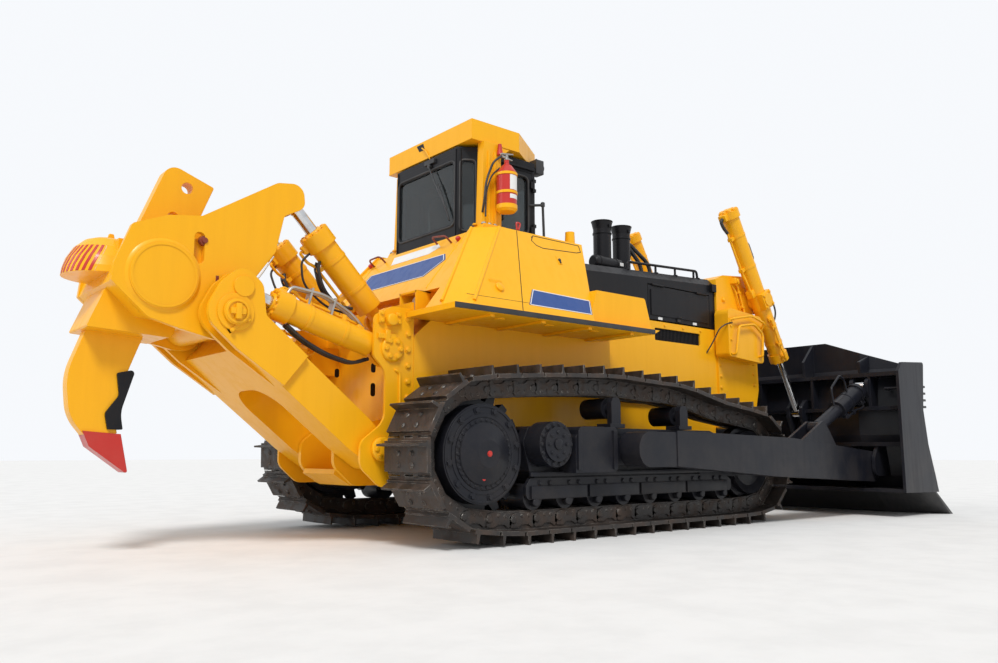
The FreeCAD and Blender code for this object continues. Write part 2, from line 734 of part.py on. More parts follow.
def door_window(start, end, inset=0):
    return window("XZ", DOOR_Z0 + 120, DOOR_Z1 - 70, DOOR_X0 + 70, DOOR_X1 - 70, 60, start, end, inset)


def cab_door():
    frame = box(DOOR_X0, DOOR_X1, -CAB_HALF, -CAB_HALF + CAB_WALL, DOOR_Z0, DOOR_Z1)
    frame = frame.cut(door_window(-CAB_HALF - 50, -CAB_HALF + 100))
    moving = cab_knuckles(CAB_DOOR_KNUCKLES, CAB_HINGE_R)
    moving += hinge_leaf(CAB_DOOR_KNUCKLES, DOOR_X1)
    return joined([frame] + moving)


def door_glass():
    return door_window(-CAB_HALF + 26, -CAB_HALF + 26 + PANE, SEAT)


def seat():
    low = CAB_FLOOR + CAB_WALL + SEAT
    base = box(860, 1200, -220, 220, low, 3230)
    cushion = prism([(820, 3230, 40), (1320, 3230, 60), (1320, 3340, 60), (820, 3340, 40)], "XZ", -270, 270)
    back = prism([(710, 3240, 40), (840, 3240, 40), (750, 3980, 60), (640, 3980, 60)], "XZ", -250, 250)
    return joined([base, cushion, back])


def console():
    low = CAB_FLOOR + CAB_WALL + SEAT
    return prism([(1560, low), (1730, low), (1730, 3300), (1660, 3370, 40), (1540, 3300, 40)], "XZ", -330, 330)


CANOPY_LOW = 4405
CANOPY_REAR = 445
CANOPY_HALF = 854
POST_OUT = 895
BOTTLE_R = 115


def rops_roof():
    """Deep roof over the cab, chamfered at the front corners."""
    plan = [(CANOPY_REAR, -CANOPY_HALF), (1160, -CANOPY_HALF), (1800, -430), (1800, 430), (1160, CANOPY_HALF),
            (CANOPY_REAR, CANOPY_HALF)]
    return prism(plan, "XY", CANOPY_LOW, ROOF_TOP)


def rops_post():
    """Post from the deck to the roof, with a foot plate on the side tank."""
    post = prism([(560, DECK_TOP + SEAT), (850, DECK_TOP + SEAT), (850, SIDE_TANK_TOP), (840, CANOPY_LOW - SEAT),
                  (590, CANOPY_LOW - SEAT), (560, SIDE_TANK_TOP)], "XZ", -POST_OUT, -785)
    foot = prism([(500, SIDE_TANK_TOP + SEAT), (868, SIDE_TANK_TOP + SEAT), (862, 3420, 10), (540, 3420, 20)],
                 "XZ", -960, -780)
    return joined([post, foot])


def extinguisher():
    """Bottle in two straps on a plate against the post."""
    bottle = turned_along(vec(800, -POST_OUT - 35 - BOTTLE_R, 3585), vec(0, 0, 1), [
        (0, 0), (0, BOTTLE_R - 25), (35, BOTTLE_R), (440, BOTTLE_R), (520, 60), (545, 28), (600, 28), (600, 0)])
    plate = box(760, 835, -POST_OUT - 40, -POST_OUT - SEAT, 3640, 4000)
    return joined([bottle, plate])


def hood_rails():
    pieces = []
    for side in (-1, 1):
        y = side * 620
        rail = [rod(vec(3890, y, hood_top(3890) + 110), vec(4770, y, hood_top(4770) + 110), 18)]
        for x in (3900, 4330, 4760):
            rail.append(rod(vec(x, y, hood_top(x + 16) + SEAT), vec(x, y, hood_top(x) + 110), 16))
        pieces.append(joined(rail))
    return Part.makeCompound(pieces)


def engine_block():
    return box(2900, 4850, -430, 430, RAIL_TOP + SEAT, 3050)


# Push arms
ARM_EAR = 90
BRACE_EAR = 88
LIFT_EAR = 83


def push_arm():
    """Tapered box arm: bearing housing at the rear, brace bracket on its back, blade eye in front."""
    housing = prism([(1750, 740, 180), (2520, 740, 180), (2520, 1120, 180), (1750, 1120, 180)],
                    "XZ", -ARM_OUT + 10, -ARM_IN + 20)
    tip_x = BLADE_PIN[0] + 140
    beam = prism([(2380, 745), (4330, 600), (tip_x - 170, 480, 150), (tip_x, 600, 150), (tip_x, 800, 150),
                  (tip_x - 170, 905, 150), (4750, 1080, 60), (2380, 1135)], "XZ", -ARM_OUT, -ARM_IN)
    bracket = [prism([(4980, 1050), (5560, 1330, 60), (5660, 1220, 60), (5850, 990)], "XZ",
                     -BRACE_Y - far, -BRACE_Y - near)
               for near, far in ((-ARM_EAR - 40, -ARM_EAR), (ARM_EAR, ARM_EAR + 40))]
    arm = joined([housing, beam] + bracket)
    bores = [disc_y(ARM_HINGE, -2051, -ARM_IN + 30, 120 + PIN_GAP),
             disc_y(BLADE_PIN, -ARM_OUT - 5, -ARM_IN + 5, BLADE_PIN_R + PIN_GAP)]
    return arm.cut(bores)


def brace_barrel():
    """Tube from the arm's bracket to the large tilt cylinder."""
    direction = unit(BRACE_PIN, BRACE_EYE)
    start = vec(BRACE_PIN[0], -BRACE_Y, BRACE_PIN[1])
    heading = vec(direction[0], 0, direction[1])
    span = length(BRACE_PIN, BRACE_EYE)
    tube = turned_along(start, heading, [
        (60, 0), (60, 85), (650, 85), (650, 125), (1240, 125), (1240, 145), (1310, 145), (1310, 0)])
    eye = disc_y(BRACE_PIN, -BRACE_Y - 75, -BRACE_Y + 75, 95)
    bore = rod(start.add(heading * 720), start.add(heading * (span + 200)), 60 + RUN_GAP)
    pin = disc_y(BRACE_PIN, -BRACE_Y - ARM_EAR + SEAT, -BRACE_Y + ARM_EAR - SEAT, 50)
    return joined([tube, eye, pin]).cut(bore)


def brace_rod():
    direction = unit(BRACE_PIN, BRACE_EYE)
    span = length(BRACE_PIN, BRACE_EYE)
    start = vec(BRACE_PIN[0], -BRACE_Y, BRACE_PIN[1])
    heading = vec(direction[0], 0, direction[1])
    shaft = rod(start.add(heading * 860), start.add(heading * (span - 60)), 60)
    eye = disc_y(BRACE_EYE, -BRACE_Y - 65, -BRACE_Y + 65, 100)
    pin = disc_y(BRACE_EYE, -BRACE_Y - BRACE_EAR + SEAT, -BRACE_Y + BRACE_EAR - SEAT, 50)
    return joined([shaft, eye, pin])


def lift_barrel():
    """Blade lift cylinder, hung at its trunnion band on the guard's side."""
    direction = unit(LIFT_TRUNNION, LIFT_FOOT)
    heading = vec(direction[0], 0, direction[1])
    centre = vec(LIFT_TRUNNION[0], -LIFT_Y, LIFT_TRUNNION[1])
    body = turned_along(centre, heading, [
        (-LIFT_ABOVE, 0), (-LIFT_ABOVE, LIFT_BARREL_R + 25), (-LIFT_ABOVE + 110, LIFT_BARREL_R + 25),
        (-LIFT_ABOVE + 110, LIFT_BARREL_R), (LIFT_BELOW - 130, LIFT_BARREL_R),
        (LIFT_BELOW - 130, LIFT_BARREL_R + 20), (LIFT_BELOW, LIFT_BARREL_R + 20), (LIFT_BELOW, 0)])
    band = turned_along(centre, heading, [
        (-130, 0), (-130, LIFT_BARREL_R + 6), (130, LIFT_BARREL_R + 6), (130, 0)])
    stub = disc_y(LIFT_TRUNNION, -GUARD_HALF - 40, -GUARD_HALF + 45, TRUNNION_R)
    inner_boss = disc_y(LIFT_TRUNNION, -LIFT_Y + 60, -GUARD_HALF - EAR_PLATE - SIDE_GAP, 105)
    cap = disc_y(LIFT_TRUNNION, -LIFT_Y - 175, -LIFT_Y - 60, 100)
    bore = rod(centre.add(heading * (-LIFT_ABOVE + 100)), centre.add(heading * (LIFT_BELOW + 10)),
               LIFT_ROD_R + RUN_GAP)
    return joined([body, band, stub, inner_boss, cap]).cut(bore)


def lift_rod():
    direction = unit(LIFT_TRUNNION, LIFT_FOOT)
    heading = vec(direction[0], 0, direction[1])
    centre = vec(LIFT_TRUNNION[0], -LIFT_Y, LIFT_TRUNNION[1])
    span = length(LIFT_TRUNNION, LIFT_FOOT)
    shaft = rod(centre.add(heading * (span - 2100)), centre.add(heading * (span - 60)), LIFT_ROD_R)
    eye = disc_y(LIFT_FOOT, -LIFT_Y - 60, -LIFT_Y + 60, 75)
    pin = disc_y(LIFT_FOOT, -LIFT_Y - LIFT_EAR + SEAT, -LIFT_Y + LIFT_EAR - SEAT, 45)
    return joined([shaft, eye, pin])


# Blade: moldboard with swept wings, back frame, bolt-on edges, spill guard
WING_START = 1850
WING_SWEEP = 240
BLADE_TOP = 2130
BLADE_FOOT = 330
SPILL_HIGH = 450
SKIN = 70
END_PLATE = 40
MOLD_HALF = BLADE_HALF - END_PLATE
# moldboard section at the middle: x of the front face, height
MOLD_FRONT = [(7215, BLADE_TOP), (7085, 1650), (7075, 1150), (7225, 560), (7370, BLADE_FOOT)]


def sweep(y):
    """How far the wings reach forward at a place across the blade."""
    return WING_SWEEP * max(0, (abs(y) - WING_START) / (MOLD_HALF - WING_START))


def mold_section(y, skin):
    """Curved plate section at a place across the blade; a negative skin reaches forward."""
    front = [vec(x + sweep(y), y, z) for x, z in MOLD_FRONT]
    back = [vec(x + sweep(y) - skin, y, z) for x, z in MOLD_FRONT]
    edges = [Part.Arc(front[0], front[1], front[2]).toShape()]
    edges += Part.makePolygon([front[2], front[3], front[4], back[4], back[3], back[2]]).Edges
    edges.append(Part.Arc(back[2], back[1], back[0]).toShape())
    edges.append(Part.LineSegment(back[0], front[0]).toShape())
    return Part.Wire(edges)


def swept_plate(skin):
    stations = [-MOLD_HALF, -WING_START, WING_START, MOLD_HALF]
    spans = []
    for i in range(3):
        wires = [mold_section(stations[i], skin), mold_section(stations[i + 1], skin)]
        spans.append(Part.makeLoft(wires, True, True))
    return joined(spans)


# shelves along the blade's back: x of the rear edge, x of the front edge, heights, half length
BACK_SHELVES = [
    (6680, 7300, 345, 390, MOLD_HALF),
    (6860, 7175, 560, 600, 1740),
    (6860, 7060, 985, 1040, MOLD_HALF),
    (6860, 7050, 1500, 1555, MOLD_HALF),
    (6860, 7140, 1990, 2050, MOLD_HALF),
]


def back_shelf(rear, front, z0, z1, half):
    """A shelf whose front edge follows the swept wings."""
    turn = min(half, WING_START)
    return prism([(rear, -half), (rear, half), (front + sweep(half), half), (front, turn), (front, -turn),
                  (front + sweep(half), -half)], "XY", z0, z1)


def lug(points, middle, near, thick):
    """Two like ears at equal distances either side of a plane."""
    return [prism(points, "XZ", middle + y0, middle + y1)
            for y0, y1 in ((-near - thick, -near), (near, near + thick))]


def blade():
    """Welded blade: moldboard, end plates, shelves and ears."""
    side = prism([(6660, 345), (6660, 2035, 30), (6780, 2160, 30), (7470, 2200, 40), (7370, 1500),
                  (7460, 1000), (7625, 560), (7700, BLADE_FOOT), (7500, BLADE_FOOT)],
                 "XZ", -BLADE_HALF, -MOLD_HALF)
    arm_middle = -(ARM_IN + ARM_OUT) / 2
    arm_reach = (ARM_OUT - ARM_IN) / 2 + SIDE_GAP
    x, z = BLADE_PIN
    right = lug([(x - 150, z - 130, 120), (x + 400, z - 130), (x + 400, z + 330), (x, z + 330, 60),
                 (x - 150, z + 130, 120)], arm_middle, arm_reach, 50)
    x, z = BRACE_EYE
    right += lug([(x - 110, z - 80, 90), (x + 10, z - 330), (x + 300, z - 330), (x + 300, z + 160),
                  (x, z + 160), (x - 110, z + 90, 90)], -BRACE_Y, BRACE_EAR, 52)
    x, z = LIFT_FOOT
    right += lug([(x - 105, z - 80, 90), (x + 30, z - 330), (x + 260, z - 330), (x + 260, z + 200),
                  (x + 30, z + 200), (x - 105, z + 80, 90)], -LIFT_Y, LIFT_EAR, 52)
    right.append(disc_y(BLADE_PIN, arm_middle - arm_reach - 45, arm_middle + arm_reach + 45, BLADE_PIN_R))
    shelves = [back_shelf(*shelf) for shelf in BACK_SHELVES]
    relief = box(x - 200, x + 250, -LIFT_Y - LIFT_EAR, -LIFT_Y + LIFT_EAR, z - 250, z + 250)
    frame = joined(shelves).cut([relief, mirrored(relief)])
    frame = joined([frame] + right + [mirrored(piece) for piece in right])
    frame = frame.cut(swept_plate(-1200))
    return joined([frame, swept_plate(SKIN), side, mirrored(side)])


def cutting_edge():
    """Bolt-on edges along the bottom, drawn out at the wings' corners."""
    foot = MOLD_FRONT[-1][0]
    top = BLADE_FOOT - SEAT
    tip = FRONT_X - WING_SWEEP
    profile = [(foot - 40, top), (foot + 5, top), (tip, 0), (tip - 85, 0)]
    pieces = [prism(profile, "XZ", -WING_START, WING_START)]
    for side in (-1, 1):
        wires = []
        for y, shift in ((side * WING_START, 0), (side * BLADE_HALF, WING_SWEEP)):
            ring = [vec(x + shift, y, z) for x, z in profile]
            wires.append(Part.makePolygon(ring + [ring[0]]))
        pieces.append(Part.makeLoft(wires, True, True))
    return joined(pieces)


def spill_guard():
    """Raised plate on the blade's top edge with its gussets behind."""
    low = BLADE_TOP + SEAT
    rear = MOLD_FRONT[0][0] - SKIN + 5
    stations = []
    for y, high in ((-2450, 30), (-WING_START, 250), (-1300, SPILL_HIGH), (1300, SPILL_HIGH), (WING_START, 250),
                    (2450, 30)):
        x = rear + sweep(y)
        ring = [vec(x, y, low), vec(x + 40, y, low), vec(x + 40, y, low + high), vec(x, y, low + high)]
        stations.append(Part.makePolygon(ring + [ring[0]]))
    pieces = [Part.makeLoft([stations[i], stations[i + 1]], True, True) for i in range(5)]
    shelf_top = BACK_SHELVES[-1][3] + SEAT
    for y, high, drop in ((1080, SPILL_HIGH - 10, 290), (1950, 200, 110)):
        x = rear + sweep(y)
        for side in (-1, 1):
            pieces.append(prism([(x + 5, low + high), (x - 300, low + high - drop), (x - 280, shelf_top),
                                 (x - 70, shelf_top), (x - 20, low), (x + 5, low)],
                                "XZ", side * y - 20, side * y + 20))
    return joined(pieces)


# Ripper
def arm_frame(points):
    """Points given along and above the line from the lower pivot to the beam's pin, as X and Z."""
    direction = unit(RIPPER_PIVOT, BEAM_PIN)
    up = (direction[1], -direction[0])
    placed = []
    for point in points:
        x, z = along(along(RIPPER_PIVOT, direction, point[0]), up, point[1])
        placed.append((x, z) + tuple(point[2:]))
    return placed


ARM_THICK = 185
LEG_REACH = 1150
BOX_REACH = 1665
EAR_IN = (600, 652)
EAR_OUT = (792, 842)
TILT_EAR_IN = (290, 340)
TILT_EAR_OUT = (500, 550)
BASE_PIN_R = 55
BEAM_PIN_R = 75
PIVOT_PIN_R = 90
CROSS_SHAFT_R = 180
CROSS_SHAFT_GAP = 5


def ripper_arm():
    """Wide box arm: two legs at the lower pivot, cheek plates at the beam's pin."""
    outline = arm_frame([(-210, -150, 140), (-210, 150, 140), (250, ARM_THICK, 100), (BOX_REACH, ARM_THICK),
                         (BOX_REACH, -ARM_THICK), (250, -ARM_THICK, 100)])
    body = prism(outline, "XZ", -RIP_ARM_HALF, RIP_ARM_HALF)
    direction = unit(RIPPER_PIVOT, BEAM_PIN)
    gap = prism([(-600, -LEG_IN), (LEG_REACH, -LEG_IN, 300), (LEG_REACH, LEG_IN, 300), (-600, LEG_IN)],
                "XY", -600, 600)
    tilt = math.degrees(math.atan2(direction[1], direction[0]))
    gap.Placement = FreeCAD.Placement(vec(RIPPER_PIVOT[0], 0, RIPPER_PIVOT[1]),
                                      FreeCAD.Rotation(vec(0, 1, 0), -tilt))
    body = body.cut(gap)
    cheek = arm_frame([(1150, -ARM_THICK), (1700, -235, 120), (2130, -220, 200), (2200, 120, 150),
                       (2160, 390, 130), (1905, 380, 120), (1700, ARM_THICK, 60), (1150, ARM_THICK)])
    cheeks = [prism(cheek, "XZ", -y1, -y0) for y0, y1 in (EAR_IN, EAR_OUT)]
    boss = disc_y(BEAM_PIN, -EAR_OUT[1] - 18, -EAR_OUT[1], 170)
    cheeks.append(boss)
    cheeks.append(disc_y(RIP_LIFT_EYE, -EAR_OUT[1] - 22, -EAR_OUT[1], 95))
    arm = joined([body] + cheeks + [mirrored(piece) for piece in cheeks])
    bores = [disc_y(BEAM_PIN, -1000, -500, BEAM_PIN_R + PIN_GAP),
             disc_y(RIPPER_PIVOT, -1000, -100, PIVOT_PIN_R + PIN_GAP)]
    return arm.cut(bores + [mirrored(bore) for bore in bores])


def ripper_pins():
    """Cross shaft between the beam's side plates, its two pins in the arm's cheeks and their bolted heads."""
    end = EAR_OUT[1] + 24
    inner = BEAM_HALF - BEAM_PLATE - CROSS_SHAFT_GAP
    shaft = disc_y(BEAM_PIN, -inner, inner, CROSS_SHAFT_R)
    pin = disc_y(BEAM_PIN, -end, end, BEAM_PIN_R)
    heads = [disc_y(BEAM_PIN, y, y + 26, 120) for y in (-end - 26, end)]
    return joined([shaft, pin] + heads)


# outline of the beam's side plate: x, height, corner radius
BEAM_SIDE = [
    (-2290, 1915, 80),
    (-2560, 1975, 150),
    (-2870, 2060, 150),
    (-3185, 2345, 15),
    (-3170, 2500),
    (-3040, 2863, 40),
    (-2740, 2990, 60),
    (-2440, 3035, 60),
    (-1720, 3500, 120),
    (-1450, 3540, 120),
    (-1420, 3300, 100),
    (-1640, 3180, 60),
    (-1716, 2810, 60),
    (-2000, 2400, 150),
    (-1965, 2130, 150),
    (-2080, 1915, 150),
]
SHANK = [
    (-3242, 1943),
    (-3366, 1570, 600),
    (-3323, 1207, 400),
    (-3127, 968),
    (-2923, 1068),
    (-2965, 1259, 300),
    (-2855, 1644, 300),
    (-2782, 1855),
    (-2163, 3472, 20),
    (-2604, 3634, 120),
]
# pin holes in the shank's top: x, height
SHANK_HOLES = [(-2423, 3418), (-2542, 3105)]
SHANK_HOLE_R = 55


def ripper_beam():
    """Carriage: two side plates, a cross box, the shank's holder and the push block."""
    plates = []
    for side in (-1, 1):
        y0, y1 = sorted((side * BEAM_HALF, side * (BEAM_HALF - BEAM_PLATE)))
        plates.append(prism(BEAM_SIDE, "XZ", y0, y1))
        y0, y1 = sorted((side * (BEAM_HALF + 28), side * BEAM_HALF))
        plates.append(disc_y((-2752, 2440), y0, y1, 300))
        y0, y1 = sorted((side * TILT_EAR_IN[0], side * TILT_EAR_IN[1]))
        plates.append(prism([(-2500, 2300), (-2500, 2700), (-1720, 3500, 120), (-1450, 3540, 120),
                             (-1420, 3300, 100), (-1640, 3180, 60), (-1800, 2750, 60), (-2250, 2300)],
                            "XZ", y0, y1))
    box_beam = prism([(-2330, 2060, 60), (-2900, 2080, 100), (-3180, 2345, 10), (-3080, 2690, 60),
                      (-2330, 2860, 60)], "XZ", -BEAM_HALF + BEAM_PLATE, BEAM_HALF - BEAM_PLATE)
    holder = prism([(-3060, 2440), (-3150, 2330), (-3290, 1968, 15), (-2560, 1925, 60), (-2500, 2200)],
                   "XZ", -300, 300)
    nose = turned_along(vec(-3090, 0, 2450), vec(0, 0, 1), [
        (0, 0), (0, 360), (60, 355), (150, 330), (250, 275), (330, 190), (360, 110), (365, 0)])
    block = prism([(-3090, -360), (-3000, -360), (-2900, -300), (-2900, 300), (-3000, 360), (-3090, 360)],
                  "XY", 2450, 2760)
    beam = joined(plates + [box_beam, holder, nose, block])
    inner = BEAM_HALF - BEAM_PLATE
    cuts = [prism(SHANK, "XZ", -SHANK_HALF - SEAT, SHANK_HALF + SEAT),
            disc_y(BEAM_PIN, -inner, inner, CROSS_SHAFT_R + CROSS_SHAFT_GAP)]
    for side in (-1, 1):
        y0, y1 = sorted((side * 480, side * 620))
        cuts.append(disc_y(BEAM_PIN, y0, y1, BEAM_PIN_R + PIN_GAP))
        cuts.append(prism([(-2500, 2590, 45), (-2405, 2590, 45), (-2405, 2880, 45), (-2500, 2880, 45)],
                          "XZ", y0, y1))
    return beam.cut(cuts)


def shank():
    """Long curved shank that passes up through the beam, with its pin holes at the top."""
    holes = [disc_y(place, -SHANK_HALF - 5, SHANK_HALF + 5, SHANK_HOLE_R) for place in SHANK_HOLES]
    return prism(SHANK, "XZ", -SHANK_HALF, SHANK_HALF).cut(holes)


def shank_guard():
    """Wear plate round the shank's front edge."""
    outer = prism([(-2800, 1640, 30), (-2910, 1250, 300), (-2882, 1098, 10), (-3010, 1098, 10),
                   (-3040, 1240, 60), (-2930, 1400, 60), (-2960, 1600, 20)], "XZ", -SHANK_HALF - 25, SHANK_HALF + 25)
    return outer.cut(prism(SHANK, "XZ", -SHANK_HALF, SHANK_HALF))


def shank_tip():
    """Pointed tooth on the shank's end."""
    tip = prism([(-3210, 1085), (-3150, 950), (-2813, 700, 15), (-2893, 1060), (-2960, 1064)],
                "XZ", -SHANK_HALF - 15, SHANK_HALF + 15)
    return tip.cut(prism(SHANK, "XZ", -SHANK_HALF, SHANK_HALF))


def cylinder(base, eye, y, sizes):
    """Barrel and rod of a hydraulic cylinder between two pins; sizes are named values."""
    direction = unit(base, eye)
    heading = vec(direction[0], 0, direction[1])
    start = vec(base[0], y, base[1])
    span = length(base, eye)
    barrel_r = sizes["barrel"]
    end = sizes["barrel_end"]
    barrel = turned_along(start, heading, [
        (60, 0), (60, sizes["neck"]), (180, sizes["neck"]), (180, barrel_r), (end - 170, barrel_r),
        (end - 170, barrel_r + 25), (end, barrel_r + 25), (end, 0)])
    base_eye = disc_y(base, y - sizes["half_eye"], y + sizes["half_eye"], sizes["base_eye"])
    barrel = joined([barrel, base_eye])
    bore = rod(start.add(heading * 150), start.add(heading * (end + 10)), sizes["rod"] + RUN_GAP)
    pin_hole = disc_y(base, y - 200, y + 200, sizes["pin"] + PIN_GAP)
    barrel = barrel.cut([bore, pin_hole])
    tail = span - sizes["eye"]
    shaft = rod(start.add(heading * sizes["rod_start"]), start.add(heading * (tail + 20)), sizes["rod"])
    rod_eye = disc_y(eye, y - sizes["half_eye"], y + sizes["half_eye"], sizes["eye"])
    neck = rod(start.add(heading * (tail - 60)), start.add(heading * (tail + 30)), sizes["neck"])
    pin = disc_y(eye, y - sizes["half_pin"], y + sizes["half_pin"], sizes["pin"])
    return barrel, joined([shaft, neck, rod_eye, pin])


def ripper_bracket():
    """Mounting on the steering case: plates for the arm's legs and ears for both cylinder pairs."""
    face = HULL_REAR - SEAT
    half = HULL_HALF - 5
    outer = [(face, 2360), (-600, 2360, 60), (-800, 2250, 80), (-800, 1840, 80), (-660, 1700, 200),
             (-660, 1200, 200), (-930, 1000, 120), (-930, 760, 150), (-700, 560, 150), (face, 560)]
    leg = [(face, 1250), (-700, 1180, 150), (-930, 1000, 120), (-930, 760, 150), (-700, 560, 150), (face, 560)]
    lift_ear = [(face, 1760), (-600, 1770, 150), (-750, 1925, 150), (-600, 2080, 150), (face, 2090)]
    tilt_ear = [(face, 2130), (-450, 2120, 150), (-610, 2270, 150), (-450, 2420, 150), (face, 2420)]
    pieces = [box(face - 30, face, -half, half, 560, 2430)]
    for points, span in ((outer, (half - 35, half)), (leg, (330, 385)), (lift_ear, EAR_IN), (lift_ear, EAR_OUT),
                         (tilt_ear, TILT_EAR_IN), (tilt_ear, TILT_EAR_OUT)):
        piece = prism(points, "XZ", -span[1], -span[0])
        pieces += [piece, mirrored(piece)]
    for centre, radius, y0, y1 in ((RIPPER_PIVOT, PIVOT_PIN_R, 330, half + 20),
                                   (RIP_LIFT_BASE, BASE_PIN_R, EAR_IN[0], EAR_OUT[1]),
                                   (TILT_BASE, BASE_PIN_R, TILT_EAR_IN[0], TILT_EAR_OUT[1])):
        pin = disc_y(centre, -y1, -y0, radius)
        pieces += [pin, mirrored(pin)]
    belly = prism([(face, 560), (-700, 560), (-900, 680), (-880, 730), (-680, 610), (face, 610)],
                  "XZ", -331, 331)
    pieces.append(belly)
    return joined(pieces)


RIP_LIFT_SIZES = {
    "barrel": 125,
    "barrel_end": 1270,
    "rod": 60,
    "neck": 64,
    "rod_start": 250,
    "eye": 105,
    "base_eye": 105,
    "half_eye": 65,
    "pin": BASE_PIN_R,
    "half_pin": (EAR_OUT[0] - EAR_IN[1]) / 2 - SEAT,
}
TILT_SIZES = {
    "barrel": 135,
    "barrel_end": 1160,
    "rod": 65,
    "neck": 74,
    "rod_start": 420,
    "eye": 110,
    "base_eye": 84,
    "half_eye": 70,
    "pin": BASE_PIN_R,
    "half_pin": (TILT_EAR_OUT[0] - TILT_EAR_IN[1]) / 2 - SEAT,
}


def build():
    add_sides("track", track())
    add_pair("sprockets", sprocket())
    add_pair("idlers", idler())
    add_pair("track_rollers", track_rollers())
    add_pair("carrier_rollers", carrier_rollers())
    add_pair("track_frames", track_frame())
    add_pair("trunnions", trunnion())
    add("main_frame", main_frame())
    add("equalizer_bar", equalizer_bar())
    add_pair("engine_panels", engine_panels())
    add("engine_block", engine_block())
    add("hood", hood())
    add_sides("engine_door", engine_door())
    add("exhaust_stacks", exhaust_stacks())
    add("hood_rails", hood_rails())
    add("radiator_guard", radiator_guard())
    add("radiator_grille", radiator_grille())
    add("rear_tank", rear_tank())
    add_pair("side_tanks", side_tank())
    add("platform", platform())
    add_pair("fenders", fender())
    cab_parts()
    add("cab_glass", cab_glass())
    add_sides("cab_door", cab_door())
    add_sides("door_glass", door_glass())
    add("cab_seat", seat())
    add("cab_console", console())
    add("rops_roof", rops_roof())
    add_pair("rops_posts", rops_post())
    add("extinguisher", extinguisher())
    add_pair("push_arms", push_arm())
    add_pair("brace_barrels", brace_barrel())
    add_pair("brace_rods", brace_rod())
    add_pair("lift_barrels", lift_barrel())
    add_pair("lift_rods", lift_rod())
    add("blade", blade())
    add("cutting_edge", cutting_edge())
    add("spill_guard", spill_guard())
    add("ripper_bracket", ripper_bracket())
    add("ripper_arm", ripper_arm())
    add("ripper_pins", ripper_pins())
    add("ripper_beam", ripper_beam())
    add("shank", shank())
    add("shank_guard", shank_guard())
    add("shank_tip", shank_tip())
    barrel, shaft = cylinder(RIP_LIFT_BASE, RIP_LIFT_EYE, -RIP_LIFT_Y, RIP_LIFT_SIZES)
    add_pair("ripper_lift_barrels", barrel)
    add_pair("ripper_lift_rods", shaft)
    barrel, shaft = cylinder(TILT_BASE, TILT_EYE, -TILT_Y, TILT_SIZES)
    add_pair("ripper_tilt_barrels", barrel)
    add_pair("ripper_tilt_rods", shaft)


os.makedirs("parts", exist_ok=True)
build()
for name, shape in NODES.items():
    shape.translate(vec(-CENTRE_X, 0, 0))
    shape.exportStep("parts/" + name + ".step")
    print(name, len(shape.Solids), round(shape.Volume / 1e9, 4))
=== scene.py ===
import bpy
import bmesh
import json
import math
from mathutils import Matrix, Vector


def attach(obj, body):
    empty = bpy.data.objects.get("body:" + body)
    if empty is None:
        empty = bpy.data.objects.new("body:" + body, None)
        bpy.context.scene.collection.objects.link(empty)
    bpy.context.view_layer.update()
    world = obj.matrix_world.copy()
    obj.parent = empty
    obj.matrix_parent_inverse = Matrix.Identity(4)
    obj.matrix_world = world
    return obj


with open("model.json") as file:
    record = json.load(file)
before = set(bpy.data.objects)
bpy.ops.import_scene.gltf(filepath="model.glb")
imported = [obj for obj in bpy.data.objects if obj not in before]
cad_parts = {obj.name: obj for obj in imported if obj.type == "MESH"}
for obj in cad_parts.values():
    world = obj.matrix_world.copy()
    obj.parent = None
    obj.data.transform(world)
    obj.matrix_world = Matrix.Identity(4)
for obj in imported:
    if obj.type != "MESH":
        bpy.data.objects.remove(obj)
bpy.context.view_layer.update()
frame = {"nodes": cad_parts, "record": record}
cadNodes = frame["nodes"]
axleX = -2.3325  # the sprockets' axle in the frame; every x below is measured from it, in metres
print("frame loaded:", len(cadNodes), "nodes")


def at(x, y, z):
    return Vector((x + axleX, y, z))


# Colours and finishes that a user would change
finishes = {
    "yellowPaint": {"colour": (0.92, 0.44, 0.006), "shade": (0.80, 0.35, 0.004), "rough": 0.34, "coat": 0.14,
                    "wear": 0.16, "wearColour": (0.40, 0.20, 0.03), "dust": 0.06, "grain": 0.10, "shine": 0.24},
    "blackPaint": {"colour": (0.007, 0.007, 0.009), "shade": (0.013, 0.013, 0.015), "rough": 0.36, "coat": 0.06,
                   "wear": 0.22, "wearColour": (0.09, 0.09, 0.09), "dust": 0.06, "grain": 0.10, "shine": 0.20},
    "darkPaint": {"colour": (0.009, 0.010, 0.015), "shade": (0.017, 0.017, 0.021), "rough": 0.34, "coat": 0.08,
                  "wear": 0.28, "wearColour": (0.13, 0.12, 0.12), "dust": 0.09, "grain": 0.18, "shine": 0.20},
    "redPaint": {"colour": (0.52, 0.020, 0.012), "shade": (0.38, 0.016, 0.010), "rough": 0.34, "coat": 0.35,
                 "wear": 0.30, "wearColour": (0.18, 0.10, 0.08), "dust": 0.15, "grain": 0.12, "shine": 0.35},
    "whitePaint": {"colour": (0.80, 0.80, 0.78), "shade": (0.66, 0.66, 0.64), "rough": 0.40, "coat": 0.2,
                   "wear": 0.20, "wearColour": (0.30, 0.28, 0.26), "dust": 0.20, "grain": 0.08, "shine": 0.40},
    "bluePlate": {"colour": (0.020, 0.070, 0.260), "shade": (0.016, 0.050, 0.190), "rough": 0.42, "coat": 0.2,
                  "wear": 0.15, "wearColour": (0.20, 0.22, 0.28), "dust": 0.18, "grain": 0.05, "shine": 0.30},
    "brownHandle": {"colour": (0.22, 0.035, 0.018), "shade": (0.15, 0.026, 0.015), "rough": 0.45, "coat": 0.1,
                    "wear": 0.30, "wearColour": (0.22, 0.14, 0.10), "dust": 0.2, "grain": 0.1, "shine": 0.35},
}


def link(tree, source, target):
    tree.links.new(source, target)


